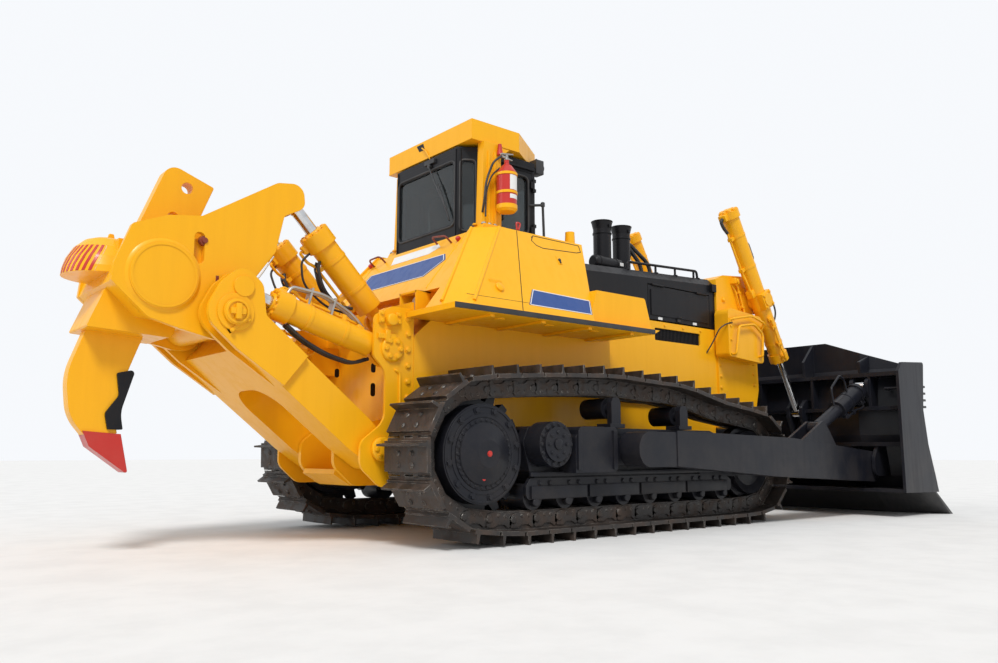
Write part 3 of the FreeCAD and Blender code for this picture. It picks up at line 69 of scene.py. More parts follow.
def newGroup(name, inputs, outputs):
    group = bpy.data.node_groups.new(name, "ShaderNodeTree")
    for label, kind, value in inputs:
        socket = group.interface.new_socket(label, in_out="INPUT", socket_type=kind)
        if value is not None:
            socket.default_value = value
    for label, kind in outputs:
        group.interface.new_socket(label, in_out="OUTPUT", socket_type=kind)
    start = group.nodes.new("NodeGroupInput")
    end = group.nodes.new("NodeGroupOutput")
    return group, start, end


def mathNode(tree, operation, a, b=None, clamp=False):
    node = tree.nodes.new("ShaderNodeMath")
    node.operation = operation
    node.use_clamp = clamp
    for i, value in enumerate((a, b)):
        if value is None:
            continue
        if isinstance(value, (int, float)):
            node.inputs[i].default_value = value
        else:
            link(tree, value, node.inputs[i])
    return node.outputs[0]


def noiseNode(tree, vector, scale, detail=4.0, rough=0.55):
    node = tree.nodes.new("ShaderNodeTexNoise")
    node.inputs["Detail"].default_value = detail
    node.inputs["Roughness"].default_value = rough
    if isinstance(scale, (int, float)):
        node.inputs["Scale"].default_value = scale
    else:
        link(tree, scale, node.inputs["Scale"])
    link(tree, vector, node.inputs["Vector"])
    return node.outputs["Fac"]


def rangeNode(tree, value, low, high, outLow=0.0, outHigh=1.0):
    node = tree.nodes.new("ShaderNodeMapRange")
    node.interpolation_type = "SMOOTHSTEP"
    for label, number in (("From Min", low), ("From Max", high), ("To Min", outLow), ("To Max", outHigh)):
        node.inputs[label].default_value = number
    link(tree, value, node.inputs["Value"])
    return node.outputs["Result"]


def objectPlace(tree):
    return tree.nodes.new("ShaderNodeTexCoord").outputs["Object"]


def scaledPlace(tree, vector, scale):
    node = tree.nodes.new("ShaderNodeMapping")
    node.inputs["Scale"].default_value = scale
    link(tree, vector, node.inputs["Vector"])
    return node.outputs["Vector"]


def makeEdgeGroup():
    # rounded normal for the facets, and a mask along worn outer edges
    group, start, end = newGroup("wornEdges", [("Width", "NodeSocketFloat", 0.006), ("Breakup", "NodeSocketFloat", 14.0)],
                                 [("Mask", "NodeSocketFloat"), ("Normal", "NodeSocketVector")])
    bevel = group.nodes.new("ShaderNodeBevel")
    bevel.samples = 4
    link(group, start.outputs["Width"], bevel.inputs["Radius"])
    flat = group.nodes.new("ShaderNodeNewGeometry").outputs["True Normal"]
    dot = group.nodes.new("ShaderNodeVectorMath")
    dot.operation = "DOT_PRODUCT"
    link(group, bevel.outputs["Normal"], dot.inputs[0])
    link(group, flat, dot.inputs[1])
    bent = rangeNode(group, dot.outputs["Value"], 0.97, 0.80)
    broken = rangeNode(group, noiseNode(group, objectPlace(group), start.outputs["Breakup"], 6.0, 0.7), 0.42, 0.62)
    link(group, mathNode(group, "MULTIPLY", bent, broken), end.inputs["Mask"])
    link(group, bevel.outputs["Normal"], end.inputs["Normal"])
    return group


def makeDustGroup():
    # dry dust: thicker on top faces and low on the machine, blotchy everywhere
    group, start, end = newGroup("dryDust", [("Amount", "NodeSocketFloat", 0.3), ("Patch Scale", "NodeSocketFloat", 2.5)],
                                 [("Mask", "NodeSocketFloat")])
    place = objectPlace(group)
    parts = group.nodes.new("ShaderNodeSeparateXYZ")
    link(group, place, parts.inputs[0])
    low = rangeNode(group, parts.outputs["Z"], 1.6, 0.0, 0.15, 1.0)
    facing = group.nodes.new("ShaderNodeSeparateXYZ")
    link(group, group.nodes.new("ShaderNodeNewGeometry").outputs["Normal"], facing.inputs[0])
    top = rangeNode(group, facing.outputs["Z"], 0.2, 0.95, 0.25, 1.0)
    patches = rangeNode(group, noiseNode(group, place, start.outputs["Patch Scale"], 8.0, 0.65), 0.35, 0.72)
    fine = rangeNode(group, noiseNode(group, place, 60.0, 3.0, 0.6), 0.3, 0.7, 0.6, 1.0)
    mask = mathNode(group, "ADD", mathNode(group, "MULTIPLY", low, 0.7), mathNode(group, "MULTIPLY", top, 0.5))
    mask = mathNode(group, "MULTIPLY", mask, mathNode(group, "MULTIPLY", patches, fine))
    link(group, mathNode(group, "MULTIPLY", mask, start.outputs["Amount"], True), end.inputs["Mask"])
    return group


def makeGrainGroup():
    # orange peel of thick paint over cast or rolled steel, with soft dents
    group, start, end = newGroup("paintGrain", [("Fine Scale", "NodeSocketFloat", 260.0), ("Depth", "NodeSocketFloat", 0.2)],
                                 [("Height", "NodeSocketFloat"), ("Tone", "NodeSocketFloat")])
    place = objectPlace(group)
    fine = noiseNode(group, place, start.outputs["Fine Scale"], 2.0, 0.5)
    wide = noiseNode(group, place, 9.0, 3.0, 0.5)
    rain = noiseNode(group, scaledPlace(group, place, (5.0, 5.0, 0.45)), 2.2, 5.0, 0.6)
    height = mathNode(group, "ADD", fine, mathNode(group, "MULTIPLY", wide, 0.6))
    link(group, mathNode(group, "MULTIPLY", height, start.outputs["Depth"]), end.inputs["Height"])
    link(group, rangeNode(group, rain, 0.38, 0.72), end.inputs["Tone"])
    return group


edgeGroup = makeEdgeGroup()
dustGroup = makeDustGroup()
grainGroup = makeGrainGroup()


def useGroup(tree, group, values):
    node = tree.nodes.new("ShaderNodeGroup")
    node.node_tree = group
    for label, value in values.items():
        node.inputs[label].default_value = value
    return node


def mixColour(tree, factor, a, b):
    node = tree.nodes.new("ShaderNodeMix")
    node.data_type = "RGBA"
    for label, value in (("Factor", factor), ("A", a), ("B", b)):
        socket = [s for s in node.inputs if s.name == label and (s.type == "RGBA" or label == "Factor")][0]
        if label == "Factor":
            socket = node.inputs[0]
        if isinstance(value, (int, float)):
            socket.default_value = value
        elif isinstance(value, tuple):
            socket.default_value = value + (1.0,)
        else:
            link(tree, value, socket)
    return [s for s in node.outputs if s.type == "RGBA"][0]


dustColour = (0.34, 0.27, 0.20)


def newMaterial(name):
    material = bpy.data.materials.new(name)
    material.use_nodes = True
    tree = material.node_tree
    return material, tree, tree.nodes["Principled BSDF"]


def bumpFrom(tree, height, normal, strength, distance=0.002):
    bump = tree.nodes.new("ShaderNodeBump")
    bump.inputs["Strength"].default_value = strength
    bump.inputs["Distance"].default_value = distance
    link(tree, height, bump.inputs["Height"])
    if normal is not None:
        link(tree, normal, bump.inputs["Normal"])
    return bump.outputs["Normal"]


def paint(name, look, edgeWidth=0.006):
    material, tree, shader = newMaterial(name)
    grain = useGroup(tree, grainGroup, {"Fine Scale": 240.0, "Depth": look["grain"]})
    edges = useGroup(tree, edgeGroup, {"Width": edgeWidth, "Breakup": 13.0})
    dust = useGroup(tree, dustGroup, {"Amount": look["dust"], "Patch Scale": 2.3})
    toned = mixColour(tree, mathNode(tree, "MULTIPLY", grain.outputs["Tone"], 0.20), look["colour"], look["shade"])
    worn = mixColour(tree, mathNode(tree, "MULTIPLY", edges.outputs["Mask"], look["wear"]), toned, look["wearColour"])
    link(tree, mixColour(tree, dust.outputs["Mask"], worn, dustColour), shader.inputs["Base Color"])
    rough = mathNode(tree, "ADD", mathNode(tree, "MULTIPLY", dust.outputs["Mask"], 0.5),
                     rangeNode(tree, grain.outputs["Tone"], 0.0, 1.0, look["rough"], look["rough"] + 0.10), True)
    link(tree, rough, shader.inputs["Roughness"])
    link(tree, bumpFrom(tree, grain.outputs["Height"], edges.outputs["Normal"], 0.5), shader.inputs["Normal"])
    shader.inputs["Specular IOR Level"].default_value = look["shine"]
    shader.inputs["Coat Weight"].default_value = look["coat"]
    shader.inputs["Coat Roughness"].default_value = 0.18
    return material


paints = {name: paint(name, look) for name, look in finishes.items()}
trackLook = {"plate": (0.020, 0.016, 0.014), "mud": (0.072, 0.047, 0.034), "steel": (0.42, 0.39, 0.35)}


def makeTrackSteel():
    # dark rolled steel with dried mud, rubbed bright on the grousers' tips and edges
    material, tree, shader = newMaterial("trackSteel")
    place = objectPlace(tree)
    edges = useGroup(tree, edgeGroup, {"Width": 0.010, "Breakup": 9.0})
    mud = rangeNode(tree, noiseNode(tree, place, 5.5, 8.0, 0.65), 0.40, 0.66)
    crust = noiseNode(tree, place, 90.0, 4.0, 0.6)
    base = mixColour(tree, mathNode(tree, "MULTIPLY", mud, 0.75), trackLook["plate"], trackLook["mud"])
    rubbed = mathNode(tree, "MULTIPLY", edges.outputs["Mask"], 0.85)
    link(tree, mixColour(tree, rubbed, base, trackLook["steel"]), shader.inputs["Base Color"])
    link(tree, mathNode(tree, "MULTIPLY", rubbed, 0.8), shader.inputs["Metallic"])
    rough = mathNode(tree, "SUBTRACT", rangeNode(tree, mud, 0.0, 1.0, 0.46, 0.78),
                     mathNode(tree, "MULTIPLY", rubbed, 0.25), True)
    link(tree, rough, shader.inputs["Roughness"])
    height = mathNode(tree, "ADD", crust, mathNode(tree, "MULTIPLY", mud, 0.8))
    link(tree, bumpFrom(tree, height, edges.outputs["Normal"], 0.45, 0.004), shader.inputs["Normal"])
    return material


def makeChrome():
    material, tree, shader = newMaterial("rodChrome")
    place = objectPlace(tree)
    film = rangeNode(tree, noiseNode(tree, place, 7.0, 5.0, 0.6), 0.35, 0.75)
    link(tree, mixColour(tree, film, (0.72, 0.73, 0.74), (0.50, 0.50, 0.50)), shader.inputs["Base Color"])
    link(tree, rangeNode(tree, film, 0.0, 1.0, 0.10, 0.24), shader.inputs["Roughness"])
    edges = useGroup(tree, edgeGroup, {"Width": 0.008, "Breakup": 10.0})
    link(tree, edges.outputs["Normal"], shader.inputs["Normal"])
    shader.inputs["Metallic"].default_value = 1.0
    return material


def makeEdgeSteel():
    # bolt-on cutting edges: bare dark steel with a scratched band near the ground
    material, tree, shader = newMaterial("edgeSteel")
    place = objectPlace(tree)
    scratch = noiseNode(tree, scaledPlace(tree, place, (1.0, 14.0, 1.0)), 8.0, 6.0, 0.7)
    edges = useGroup(tree, edgeGroup, {"Width": 0.008, "Breakup": 8.0})
    rubbed = mathNode(tree, "MULTIPLY", edges.outputs["Mask"], 0.7)
    tone = mixColour(tree, rangeNode(tree, scratch, 0.35, 0.7), (0.035, 0.036, 0.040), (0.085, 0.080, 0.076))
    link(tree, mixColour(tree, rubbed, tone, (0.40, 0.38, 0.36)), shader.inputs["Base Color"])
    link(tree, rangeNode(tree, scratch, 0.3, 0.8, 0.36, 0.62), shader.inputs["Roughness"])
    link(tree, mathNode(tree, "ADD", rubbed, 0.25, True), shader.inputs["Metallic"])
    link(tree, bumpFrom(tree, scratch, edges.outputs["Normal"], 0.25), shader.inputs["Normal"])
    return material


def makeGlass():
    material, tree, shader = newMaterial("cabGlass")
    place = objectPlace(tree)
    film = rangeNode(tree, noiseNode(tree, place, 3.0, 6.0, 0.6), 0.45, 0.8)
    link(tree, mixColour(tree, film, (0.16, 0.19, 0.20), (0.22, 0.23, 0.22)), shader.inputs["Base Color"])
    link(tree, rangeNode(tree, film, 0.0, 1.0, 0.03, 0.16), shader.inputs["Roughness"])
    shader.inputs["Transmission Weight"].default_value = 0.92
    shader.inputs["IOR"].default_value = 1.45
    return material


def makeWoven():
    material, tree, shader = newMaterial("seatFabric")
    place = objectPlace(tree)
    wave = tree.nodes.new("ShaderNodeTexWave")
    wave.inputs["Scale"].default_value = 90.0
    wave.inputs["Distortion"].default_value = 1.5
    link(tree, place, wave.inputs["Vector"])
    weave = mathNode(tree, "MULTIPLY", wave.outputs["Fac"], noiseNode(tree, place, 160.0, 3.0, 0.6))
    link(tree, mixColour(tree, weave, (0.022, 0.022, 0.026), (0.060, 0.060, 0.066)), shader.inputs["Base Color"])
    link(tree, rangeNode(tree, weave, 0.0, 1.0, 0.78, 0.92), shader.inputs["Roughness"])
    link(tree, bumpFrom(tree, weave, None, 0.4), shader.inputs["Normal"])
    shader.inputs["Sheen Weight"].default_value = 0.3
    return material


def makeMatte(name, colour, second, rough, scale, depth=0.2, metal=0.0):
    # rubber, moulded plastic and cast iron differ only in tone, grain size and depth
    material, tree, shader = newMaterial(name)
    place = objectPlace(tree)
    grain = noiseNode(tree, place, scale, 4.0, 0.6)
    blotch = noiseNode(tree, place, 4.0, 5.0, 0.6)
    edges = useGroup(tree, edgeGroup, {"Width": 0.004, "Breakup": 12.0})
    tone = mixColour(tree, rangeNode(tree, blotch, 0.35, 0.7), colour, second)
    link(tree, tone, shader.inputs["Base Color"])
    link(tree, rangeNode(tree, grain, 0.3, 0.7, rough - 0.06, rough + 0.08), shader.inputs["Roughness"])
    link(tree, bumpFrom(tree, grain, edges.outputs["Normal"], depth), shader.inputs["Normal"])
    shader.inputs["Metallic"].default_value = metal
    return material


trackSteel = makeTrackSteel()
rodChrome = makeChrome()
edgeSteel = makeEdgeSteel()
cabGlass = makeGlass()
seatFabric = makeWoven()
hoseRubber = makeMatte("hoseRubber", (0.018, 0.018, 0.019), (0.045, 0.042, 0.040), 0.55, 220.0)
trimPlastic = makeMatte("trimPlastic", (0.020, 0.020, 0.022), (0.034, 0.034, 0.035), 0.50, 300.0)
castBlock = makeMatte("castBlock", (0.16, 0.16, 0.155), (0.10, 0.095, 0.09), 0.62, 120.0, 0.4)
zincFitting = makeMatte("zincFitting", (0.52, 0.50, 0.46), (0.38, 0.36, 0.33), 0.38, 180.0, 0.1, 0.9)
slotMaterials = {
    "yellow_paint": paints["yellowPaint"],
    "black_paint": paints["blackPaint"],
    "dark_paint": paints["darkPaint"],
    "red_paint": paints["redPaint"],
    "track_steel": trackSteel,
    "edge_steel": edgeSteel,
    "rod_chrome": rodChrome,
    "cast_block": castBlock,
    "cab_glass": cabGlass,
    "seat_fabric": seatFabric,
    "trim_plastic": trimPlastic,
}
for part in frame["record"]["subparts"]:
    mesh = cadNodes[part["node"]].data
    if not mesh.materials:
        mesh.materials.append(None)
    for i in range(len(mesh.materials)):
        mesh.materials[i] = slotMaterials[part["material_slot"]]
print("materials ready:", len(bpy.data.materials))


# Mesh helpers: each adds to a bmesh, in the frame's metres
def addBlock(bm, low, high, turn=None):
    corners = [Vector((x, y, z)) for x in (low[0], high[0]) for y in (low[1], high[1]) for z in (low[2], high[2])]
    if turn is not None:
        corners = [turn @ corner for corner in corners]
    verts = [bm.verts.new(corner) for corner in corners]
    for face in ((0, 1, 3, 2), (4, 6, 7, 5), (0, 4, 5, 1), (2, 3, 7, 6), (0, 2, 6, 4), (1, 5, 7, 3)):
        bm.faces.new([verts[i] for i in face])


def addRing(bm, centre, across, up, radius, sides):
    return [bm.verts.new(centre + (across * math.cos(a) + up * math.sin(a)) * radius)
            for a in (i * math.tau / sides for i in range(sides))]


def crossDirections(direction):
    direction = direction.normalized()
    helper = Vector((0, 0, 1)) if abs(direction.z) < 0.9 else Vector((1, 0, 0))
    across = direction.cross(helper).normalized()
    return across, direction.cross(across).normalized()


def addLathe(bm, start, direction, profile, sides=32):
    # profile: (distance along the axis, radius); a radius of 0 closes an end
    direction = direction.normalized()
    across, up = crossDirections(direction)
    rings = []
    for distance, radius in profile:
        centre = start + direction * distance
        rings.append([bm.verts.new(centre)] if radius < 1e-6 else addRing(bm, centre, across, up, radius, sides))
    for low, high in zip(rings, rings[1:]):
        for i in range(sides):
            j = (i + 1) % sides
            if len(low) == 1 and len(high) > 1:
                bm.faces.new((low[0], high[j], high[i]))
            elif len(high) == 1 and len(low) > 1:
                bm.faces.new((low[i], low[j], high[0]))
            elif len(low) > 1:
                bm.faces.new((low[i], low[j], high[j], high[i]))


def addPrism(bm, outline, origin, across, up, depth):
    # outline: (u, v) pairs in the plane of across and up; depth runs along their cross product
    push = across.cross(up).normalized() * depth
    low = [bm.verts.new(origin + across * u + up * v) for u, v in outline]
    high = [bm.verts.new(vert.co + push) for vert in low]
    bm.faces.new(list(reversed(low)))
    bm.faces.new(high)
    count = len(low)
    for i in range(count):
        bm.faces.new((low[i], low[(i + 1) % count], high[(i + 1) % count], high[i]))


def roundedPath(points, radius, steps=6):
    # corners of a pipe's path replaced by short arcs
    path = [points[0]]
    for before, here, after in zip(points, points[1:], points[2:]):
        a = (before - here)
        b = (after - here)
        reach = min(radius, a.length * 0.45, b.length * 0.45)
        first = here + a.normalized() * reach
        last = here + b.normalized() * reach
        for i in range(steps + 1):
            t = i / steps
            path.append(first.lerp(here, t).lerp(here.lerp(last, t), t))
    path.append(points[-1])
    return path


def addPipe(bm, points, radius, sides=10, corner=0.0):
    path = roundedPath(points, corner) if corner > 0 else points
    across, up = crossDirections(path[1] - path[0])
    rings = []
    for i, centre in enumerate(path):
        ahead = path[min(i + 1, len(path) - 1)] - path[max(i - 1, 0)]
        ahead.normalize()
        across = (across - ahead * across.dot(ahead)).normalized()
        up = ahead.cross(across).normalized()
        rings.append(addRing(bm, centre, across, up, radius, sides))
    for low, high in zip(rings, rings[1:]):
        for i in range(sides):
            j = (i + 1) % sides
            bm.faces.new((low[i], low[j], high[j], high[i]))
    bm.faces.new(list(reversed(rings[0])))
    bm.faces.new(rings[-1])


def placePiece(name, mesh, body, material, smoothAngle=40):
    mesh.materials.clear()
    mesh.materials.append(material)
    mesh.polygons.foreach_set("use_smooth", [True] * len(mesh.polygons))
    mesh.set_sharp_from_angle(angle=math.radians(smoothAngle))
    piece = bpy.data.objects.new(name, mesh)
    bpy.context.scene.collection.objects.link(piece)
    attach(piece, body)
    return piece


def finishPiece(name, bm, body, material, smoothAngle=40):
    bmesh.ops.remove_doubles(bm, verts=bm.verts, dist=0.00002)
    bmesh.ops.recalc_face_normals(bm, faces=bm.faces)
    mesh = bpy.data.meshes.new(name)
    bm.to_mesh(mesh)
    bm.free()
    return placePiece(name, mesh, body, material, smoothAngle)


def bothSides(points):
    return points + [Vector((p.x, -p.y, p.z)) for p in points]


# Geometry Nodes that repeat a small part over points which carry a facing direction and a heading, each copy at a size
# with a random spread
def makeRepeatTree(name, material):
    tree = bpy.data.node_groups.new(name, "GeometryNodeTree")
    tree.interface.new_socket("Geometry", in_out="INPUT", socket_type="NodeSocketGeometry")
    tree.interface.new_socket("Part", in_out="INPUT", socket_type="NodeSocketObject")
    tree.interface.new_socket("Size", in_out="INPUT", socket_type="NodeSocketFloat").default_value = 1.0
    tree.interface.new_socket("Size Spread", in_out="INPUT", socket_type="NodeSocketFloat").default_value = 0.0
    tree.interface.new_socket("Seed", in_out="INPUT", socket_type="NodeSocketInt").default_value = 7
    tree.interface.new_socket("Geometry", in_out="OUTPUT", socket_type="NodeSocketGeometry")
    start = tree.nodes.new("NodeGroupInput")
    end = tree.nodes.new("NodeGroupOutput")
    facing = namedVector(tree, "facing")
    heading = namedVector(tree, "heading")
    turn = tree.nodes.new("FunctionNodeAlignRotationToVector")
    turn.axis = "Z"
    link(tree, facing, turn.inputs["Vector"])
    spin = tree.nodes.new("FunctionNodeAlignRotationToVector")
    spin.axis = "X"
    spin.pivot_axis = "Z"
    link(tree, turn.outputs["Rotation"], spin.inputs["Rotation"])
    link(tree, heading, spin.inputs["Vector"])
    spread = tree.nodes.new("FunctionNodeRandomValue")
    spread.data_type = "FLOAT"
    lowest = mathNode(tree, "SUBTRACT", 1.0, start.outputs["Size Spread"])
    highest = mathNode(tree, "ADD", 1.0, start.outputs["Size Spread"])
    floats = [s for s in spread.inputs if s.type == "VALUE"]
    link(tree, lowest, floats[0])
    link(tree, highest, floats[1])
    link(tree, start.outputs["Seed"], spread.inputs["Seed"])
    factor = [s for s in spread.outputs if s.type == "VALUE"][0]
    part = tree.nodes.new("GeometryNodeObjectInfo")
    link(tree, start.outputs["Part"], part.inputs["Object"])
    instances = tree.nodes.new("GeometryNodeInstanceOnPoints")
    link(tree, start.outputs["Geometry"], instances.inputs["Points"])
    link(tree, part.outputs["Geometry"], instances.inputs["Instance"])
    link(tree, spin.outputs["Rotation"], instances.inputs["Rotation"])
    link(tree, mathNode(tree, "MULTIPLY", start.outputs["Size"], factor), instances.inputs["Scale"])
    real = tree.nodes.new("GeometryNodeRealizeInstances")
    link(tree, instances.outputs["Instances"], real.inputs["Geometry"])
    finish = tree.nodes.new("GeometryNodeSetMaterial")
    finish.inputs["Material"].default_value = material
    link(tree, real.outputs["Geometry"], finish.inputs["Geometry"])
    link(tree, finish.outputs["Geometry"], end.inputs["Geometry"])
    return tree


def namedVector(tree, label):
    node = tree.nodes.new("GeometryNodeInputNamedAttribute")
    node.data_type = "FLOAT_VECTOR"
    node.inputs["Name"].default_value = label
    return [s for s in node.outputs if s.type == "VECTOR"][0]


def setInputs(modifier, tree, values):
    for item in tree.interface.items_tree:
        if item.item_type == "SOCKET" and item.in_out == "INPUT" and item.name in values:
            modifier[item.identifier] = values[item.name]


repeatTrees = {}


def repeatPart(name, partMesh, places, body, material, size=1.0, sizeSpread=0.0, smoothAngle=35):
    # places: (point, facing, heading) for each copy
    cloud = bpy.data.meshes.new(name + "Points")
    cloud.from_pydata([tuple(point) for point, facing, heading in places], [], [])
    for label, column in (("facing", 1), ("heading", 2)):
        attribute = cloud.attributes.new(label, "FLOAT_VECTOR", "POINT")
        for i, place in enumerate(places):
            attribute.data[i].vector = place[column]
    carrier = bpy.data.objects.new(name + "Carrier", cloud)
    pattern = bpy.data.objects.new(name + "Pattern", partMesh)
    for helper in (carrier, pattern):
        bpy.context.scene.collection.objects.link(helper)
    if material.name not in repeatTrees:
        repeatTrees[material.name] = makeRepeatTree("repeat_" + material.name, material)
    tree = repeatTrees[material.name]
    modifier = carrier.modifiers.new("repeat", "NODES")
    modifier.node_group = tree
    setInputs(modifier, tree, {"Part": pattern, "Size": size, "Size Spread": sizeSpread, "Seed": 7})
    bpy.context.view_layer.update()
    graph = bpy.context.evaluated_depsgraph_get()
    mesh = bpy.data.meshes.new_from_object(carrier.evaluated_get(graph))
    mesh.name = name
    for helper in (carrier, pattern):
        bpy.data.objects.remove(helper)
    return placePiece(name, mesh, body, material, smoothAngle)


def partMesh(name, build):
    bm = bmesh.new()
    build(bm)
    bmesh.ops.recalc_face_normals(bm, faces=bm.faces)
    mesh = bpy.data.meshes.new(name)
    bm.to_mesh(mesh)
    bm.free()
    return mesh


xAxis = Vector((1, 0, 0))
yAxis = Vector((0, 1, 0))
zAxis = Vector((0, 0, 1))
outRight = Vector((0, -1, 0))  # out of the machine's right side


def boltHead(bm, radius=0.024, height=0.018, washer=0.032):
    # hexagon head on its washer, sunk a little into what it holds
    addLathe(bm, Vector((0, 0, -0.004)), zAxis, [(0, 0), (0, washer), (0.010, washer), (0.010, 0)], 14)
    addLathe(bm, Vector((0, 0, 0.002)), zAxis, [(0, 0), (0, radius), (height * 0.85, radius), (height, radius * 0.82),
                                                (height, 0)], 6)


boltPattern = partMesh("boltPattern", boltHead)


def ringOfBolts(centre, facing, radius, count, phase=0.0):
    across, up = crossDirections(facing)
    places = []
    for i in range(count):
        a = phase + i * math.tau / count
        out = across * math.cos(a) + up * math.sin(a)
        places.append((centre + out * radius, facing, out))
    return places


def rowOfBolts(start, end, facing, count):
    heading = (end - start).normalized()
    return [(start.lerp(end, i / max(1, count - 1)), facing, heading) for i in range(count)]


def mirrorPlaces(places):
    flip = Vector((1, -1, 1))
    return places + [(point * flip, facing * flip, heading * flip) for point, facing, heading in places]


# Tracks
track = {
    "middle": 1.385, "shoeWidth": 0.710, "shoes": 41, "grouser": 0.090, "plate": 0.028, "linkOut": 0.115, "linkIn": 0.085,
    "railIn": 0.072, "railOut": 0.150, "linkThick": 0.014, "pinRadius": 0.036, "boltAcross": 0.111, "boltAlong": (0.40, 0.76),
    "sprocketZ": 0.885, "sprocketR": 0.620, "idler": (4.600, 0.770), "idlerR": 0.520, "ground": (0.450, 4.150),
    "topRun": [(3.800, 1.395), (3.050, 1.560), (2.450, 1.578), (1.850, 1.615), (0.850, 1.570)],
}


def touchPoint(centre, radius, point, side):
    dx, dz = point[0] - centre[0], point[1] - centre[1]
    angle = math.atan2(dz, dx) + side * math.acos(radius / math.hypot(dx, dz))
    return (centre[0] + radius * math.cos(angle), centre[1] + radius * math.sin(angle))


def arcPoints(centre, radius, first, last, steps=60):
    a0 = math.atan2(first[1] - centre[1], first[0] - centre[0])
    a1 = math.atan2(last[1] - centre[1], last[0] - centre[0])
    if a1 < a0:
        a1 += math.tau
    return [(centre[0] + radius * math.cos(a0 + (a1 - a0) * i / steps),
             centre[1] + radius * math.sin(a0 + (a1 - a0) * i / steps)) for i in range(steps + 1)]


def chainPins():
    # the pins at equal steps along the pitch line, as (x, z) from the axle
    axle = (0.0, track["sprocketZ"])
    pitchLow = track["grouser"] + track["plate"] + track["linkOut"]
    low = [(track["ground"][0], pitchLow), (track["ground"][1], pitchLow)]
    idlerLow = touchPoint(track["idler"], track["idlerR"], low[1], 1)
    idlerHigh = touchPoint(track["idler"], track["idlerR"], track["topRun"][0], -1)
    axleHigh = touchPoint(axle, track["sprocketR"], track["topRun"][-1], 1)
    axleLow = touchPoint(axle, track["sprocketR"], low[0], -1)
    line = low + arcPoints(track["idler"], track["idlerR"], idlerLow, idlerHigh) + track["topRun"]
    line += arcPoints(axle, track["sprocketR"], axleHigh, axleLow) + [low[0]]
    total = sum(math.dist(a, b) for a, b in zip(line, line[1:]))
    step = total / track["shoes"]
    pins = []
    walked = 0.0
    for a, b in zip(line, line[1:]):
        span = math.dist(a, b)
        while len(pins) < track["shoes"] and len(pins) * step <= walked + span + 1e-9 and span > 0:
            t = (len(pins) * step - walked) / span
            pins.append((a[0] + (b[0] - a[0]) * t, a[1] + (b[1] - a[1]) * t))
        walked += span
    return pins, step


pins, pitch = chainPins()


def shoeFrames():
    # start pin, direction along the chain and direction outwards, for each shoe
    frames = []
    for i, pin in enumerate(pins):
        nextPin = pins[(i + 1) % len(pins)]
        alongChain = Vector((nextPin[0] - pin[0], 0, nextPin[1] - pin[1])).normalized()
        frames.append((pin, alongChain, Vector((alongChain.z, 0, -alongChain.x))))
    return frames


def linkPlate(bm):
    # one side plate of a link, drawn along X between two pins, with its outer side at +Y
    reach = 0.070
    waist = -0.034
    outline = [(-0.020, -0.078), (pitch * 0.20, -0.082), (pitch * 0.36, waist - 0.018), (pitch * 0.64, waist - 0.018),
               (pitch * 0.80, -0.082), (pitch - 0.050, -0.078), (pitch - 0.020, -0.040), (pitch - 0.030, 0.030),
               (pitch * 0.80, reach), (pitch * 0.20, reach), (0.015, 0.060), (-0.050, 0.030), (-0.055, -0.040)]
    addPrism(bm, outline, Vector((0, track["linkThick"], 0)), xAxis, zAxis, track["linkThick"])
    for x, radius, height in ((0.0, track["pinRadius"], 0.012), (pitch * 0.36, 0.016, 0.006), (pitch * 0.64, 0.016, 0.006)):
        z = 0.0 if x == 0.0 else 0.035
        addLathe(bm, Vector((x, track["linkThick"] - 0.004, z)), yAxis,
                 [(0, 0), (0, radius), (height, radius), (height + 0.004, radius * 0.86), (height + 0.004, 0)], 16)


def trackDetails():
    plateMesh = partMesh("linkPattern", linkPlate)
    for side, label in ((-1, "right"), (1, "left")):
        middle = side * track["middle"]
        plates, bolts = [], []
        for pin, ahead, out in shoeFrames():
            for edge in (-1, 1):
                # the plate's +Y has to face outwards from the rail, so each place keeps its edge and the inner plates
                # are mirrored below
                start = at(pin[0], middle + edge * (track["railOut"] - 0.001), pin[1])
                if edge > 0:
                    plates.append((start, -out, ahead, 1))
                else:
                    plates.append((start, -out, ahead, -1))
                for t in track["boltAlong"]:
                    point = at(pin[0], middle + edge * track["boltAcross"], pin[1]) + ahead * (t * pitch)
                    bolts.append((point + out * (track["linkOut"] + track["plate"]), out, ahead))
        outer = [(p, f, h) for p, f, h, edge in plates if edge > 0]
        inner = [(p, f, h) for p, f, h, edge in plates if edge < 0]
        for edgeName, places, flip in (("Outer", outer, 1), ("Inner", inner, -1)):
            mesh = plateMesh.copy()
            # the tree turns Z to the facing and X to the heading, which sets where the plate's Y goes
            handed = places[0][1].cross(places[0][2]).y
            if handed * flip < 0:
                mesh.transform(Matrix.Diagonal((1, -1, 1, 1)))
                mesh.flip_normals()
            repeatPart("track_links" + edgeName + "_" + label, mesh, places, "chassis", trackSteel)
        repeatPart("track_bolts_" + label, boltPattern.copy(), bolts, "chassis", trackSteel, 0.95, 0.08)


trackDetails()
print("tracks dressed")


# Bolts are gathered first and made at the end, one piece for each body, finish and size
boltGroups = {}


def bolts(body, finish, size, places, both=False):
    boltGroups.setdefault((body, finish, size), []).extend(mirrorPlaces(places) if both else places)


def makeBolts():
    for (body, finish, size), places in boltGroups.items():
        material, slot = paintSlots[finish]
        name = "bolts_" + body + "_" + finish + "_" + str(round(size * 100))
        repeatPart(name, boltPattern.copy(), places, body, material, size)


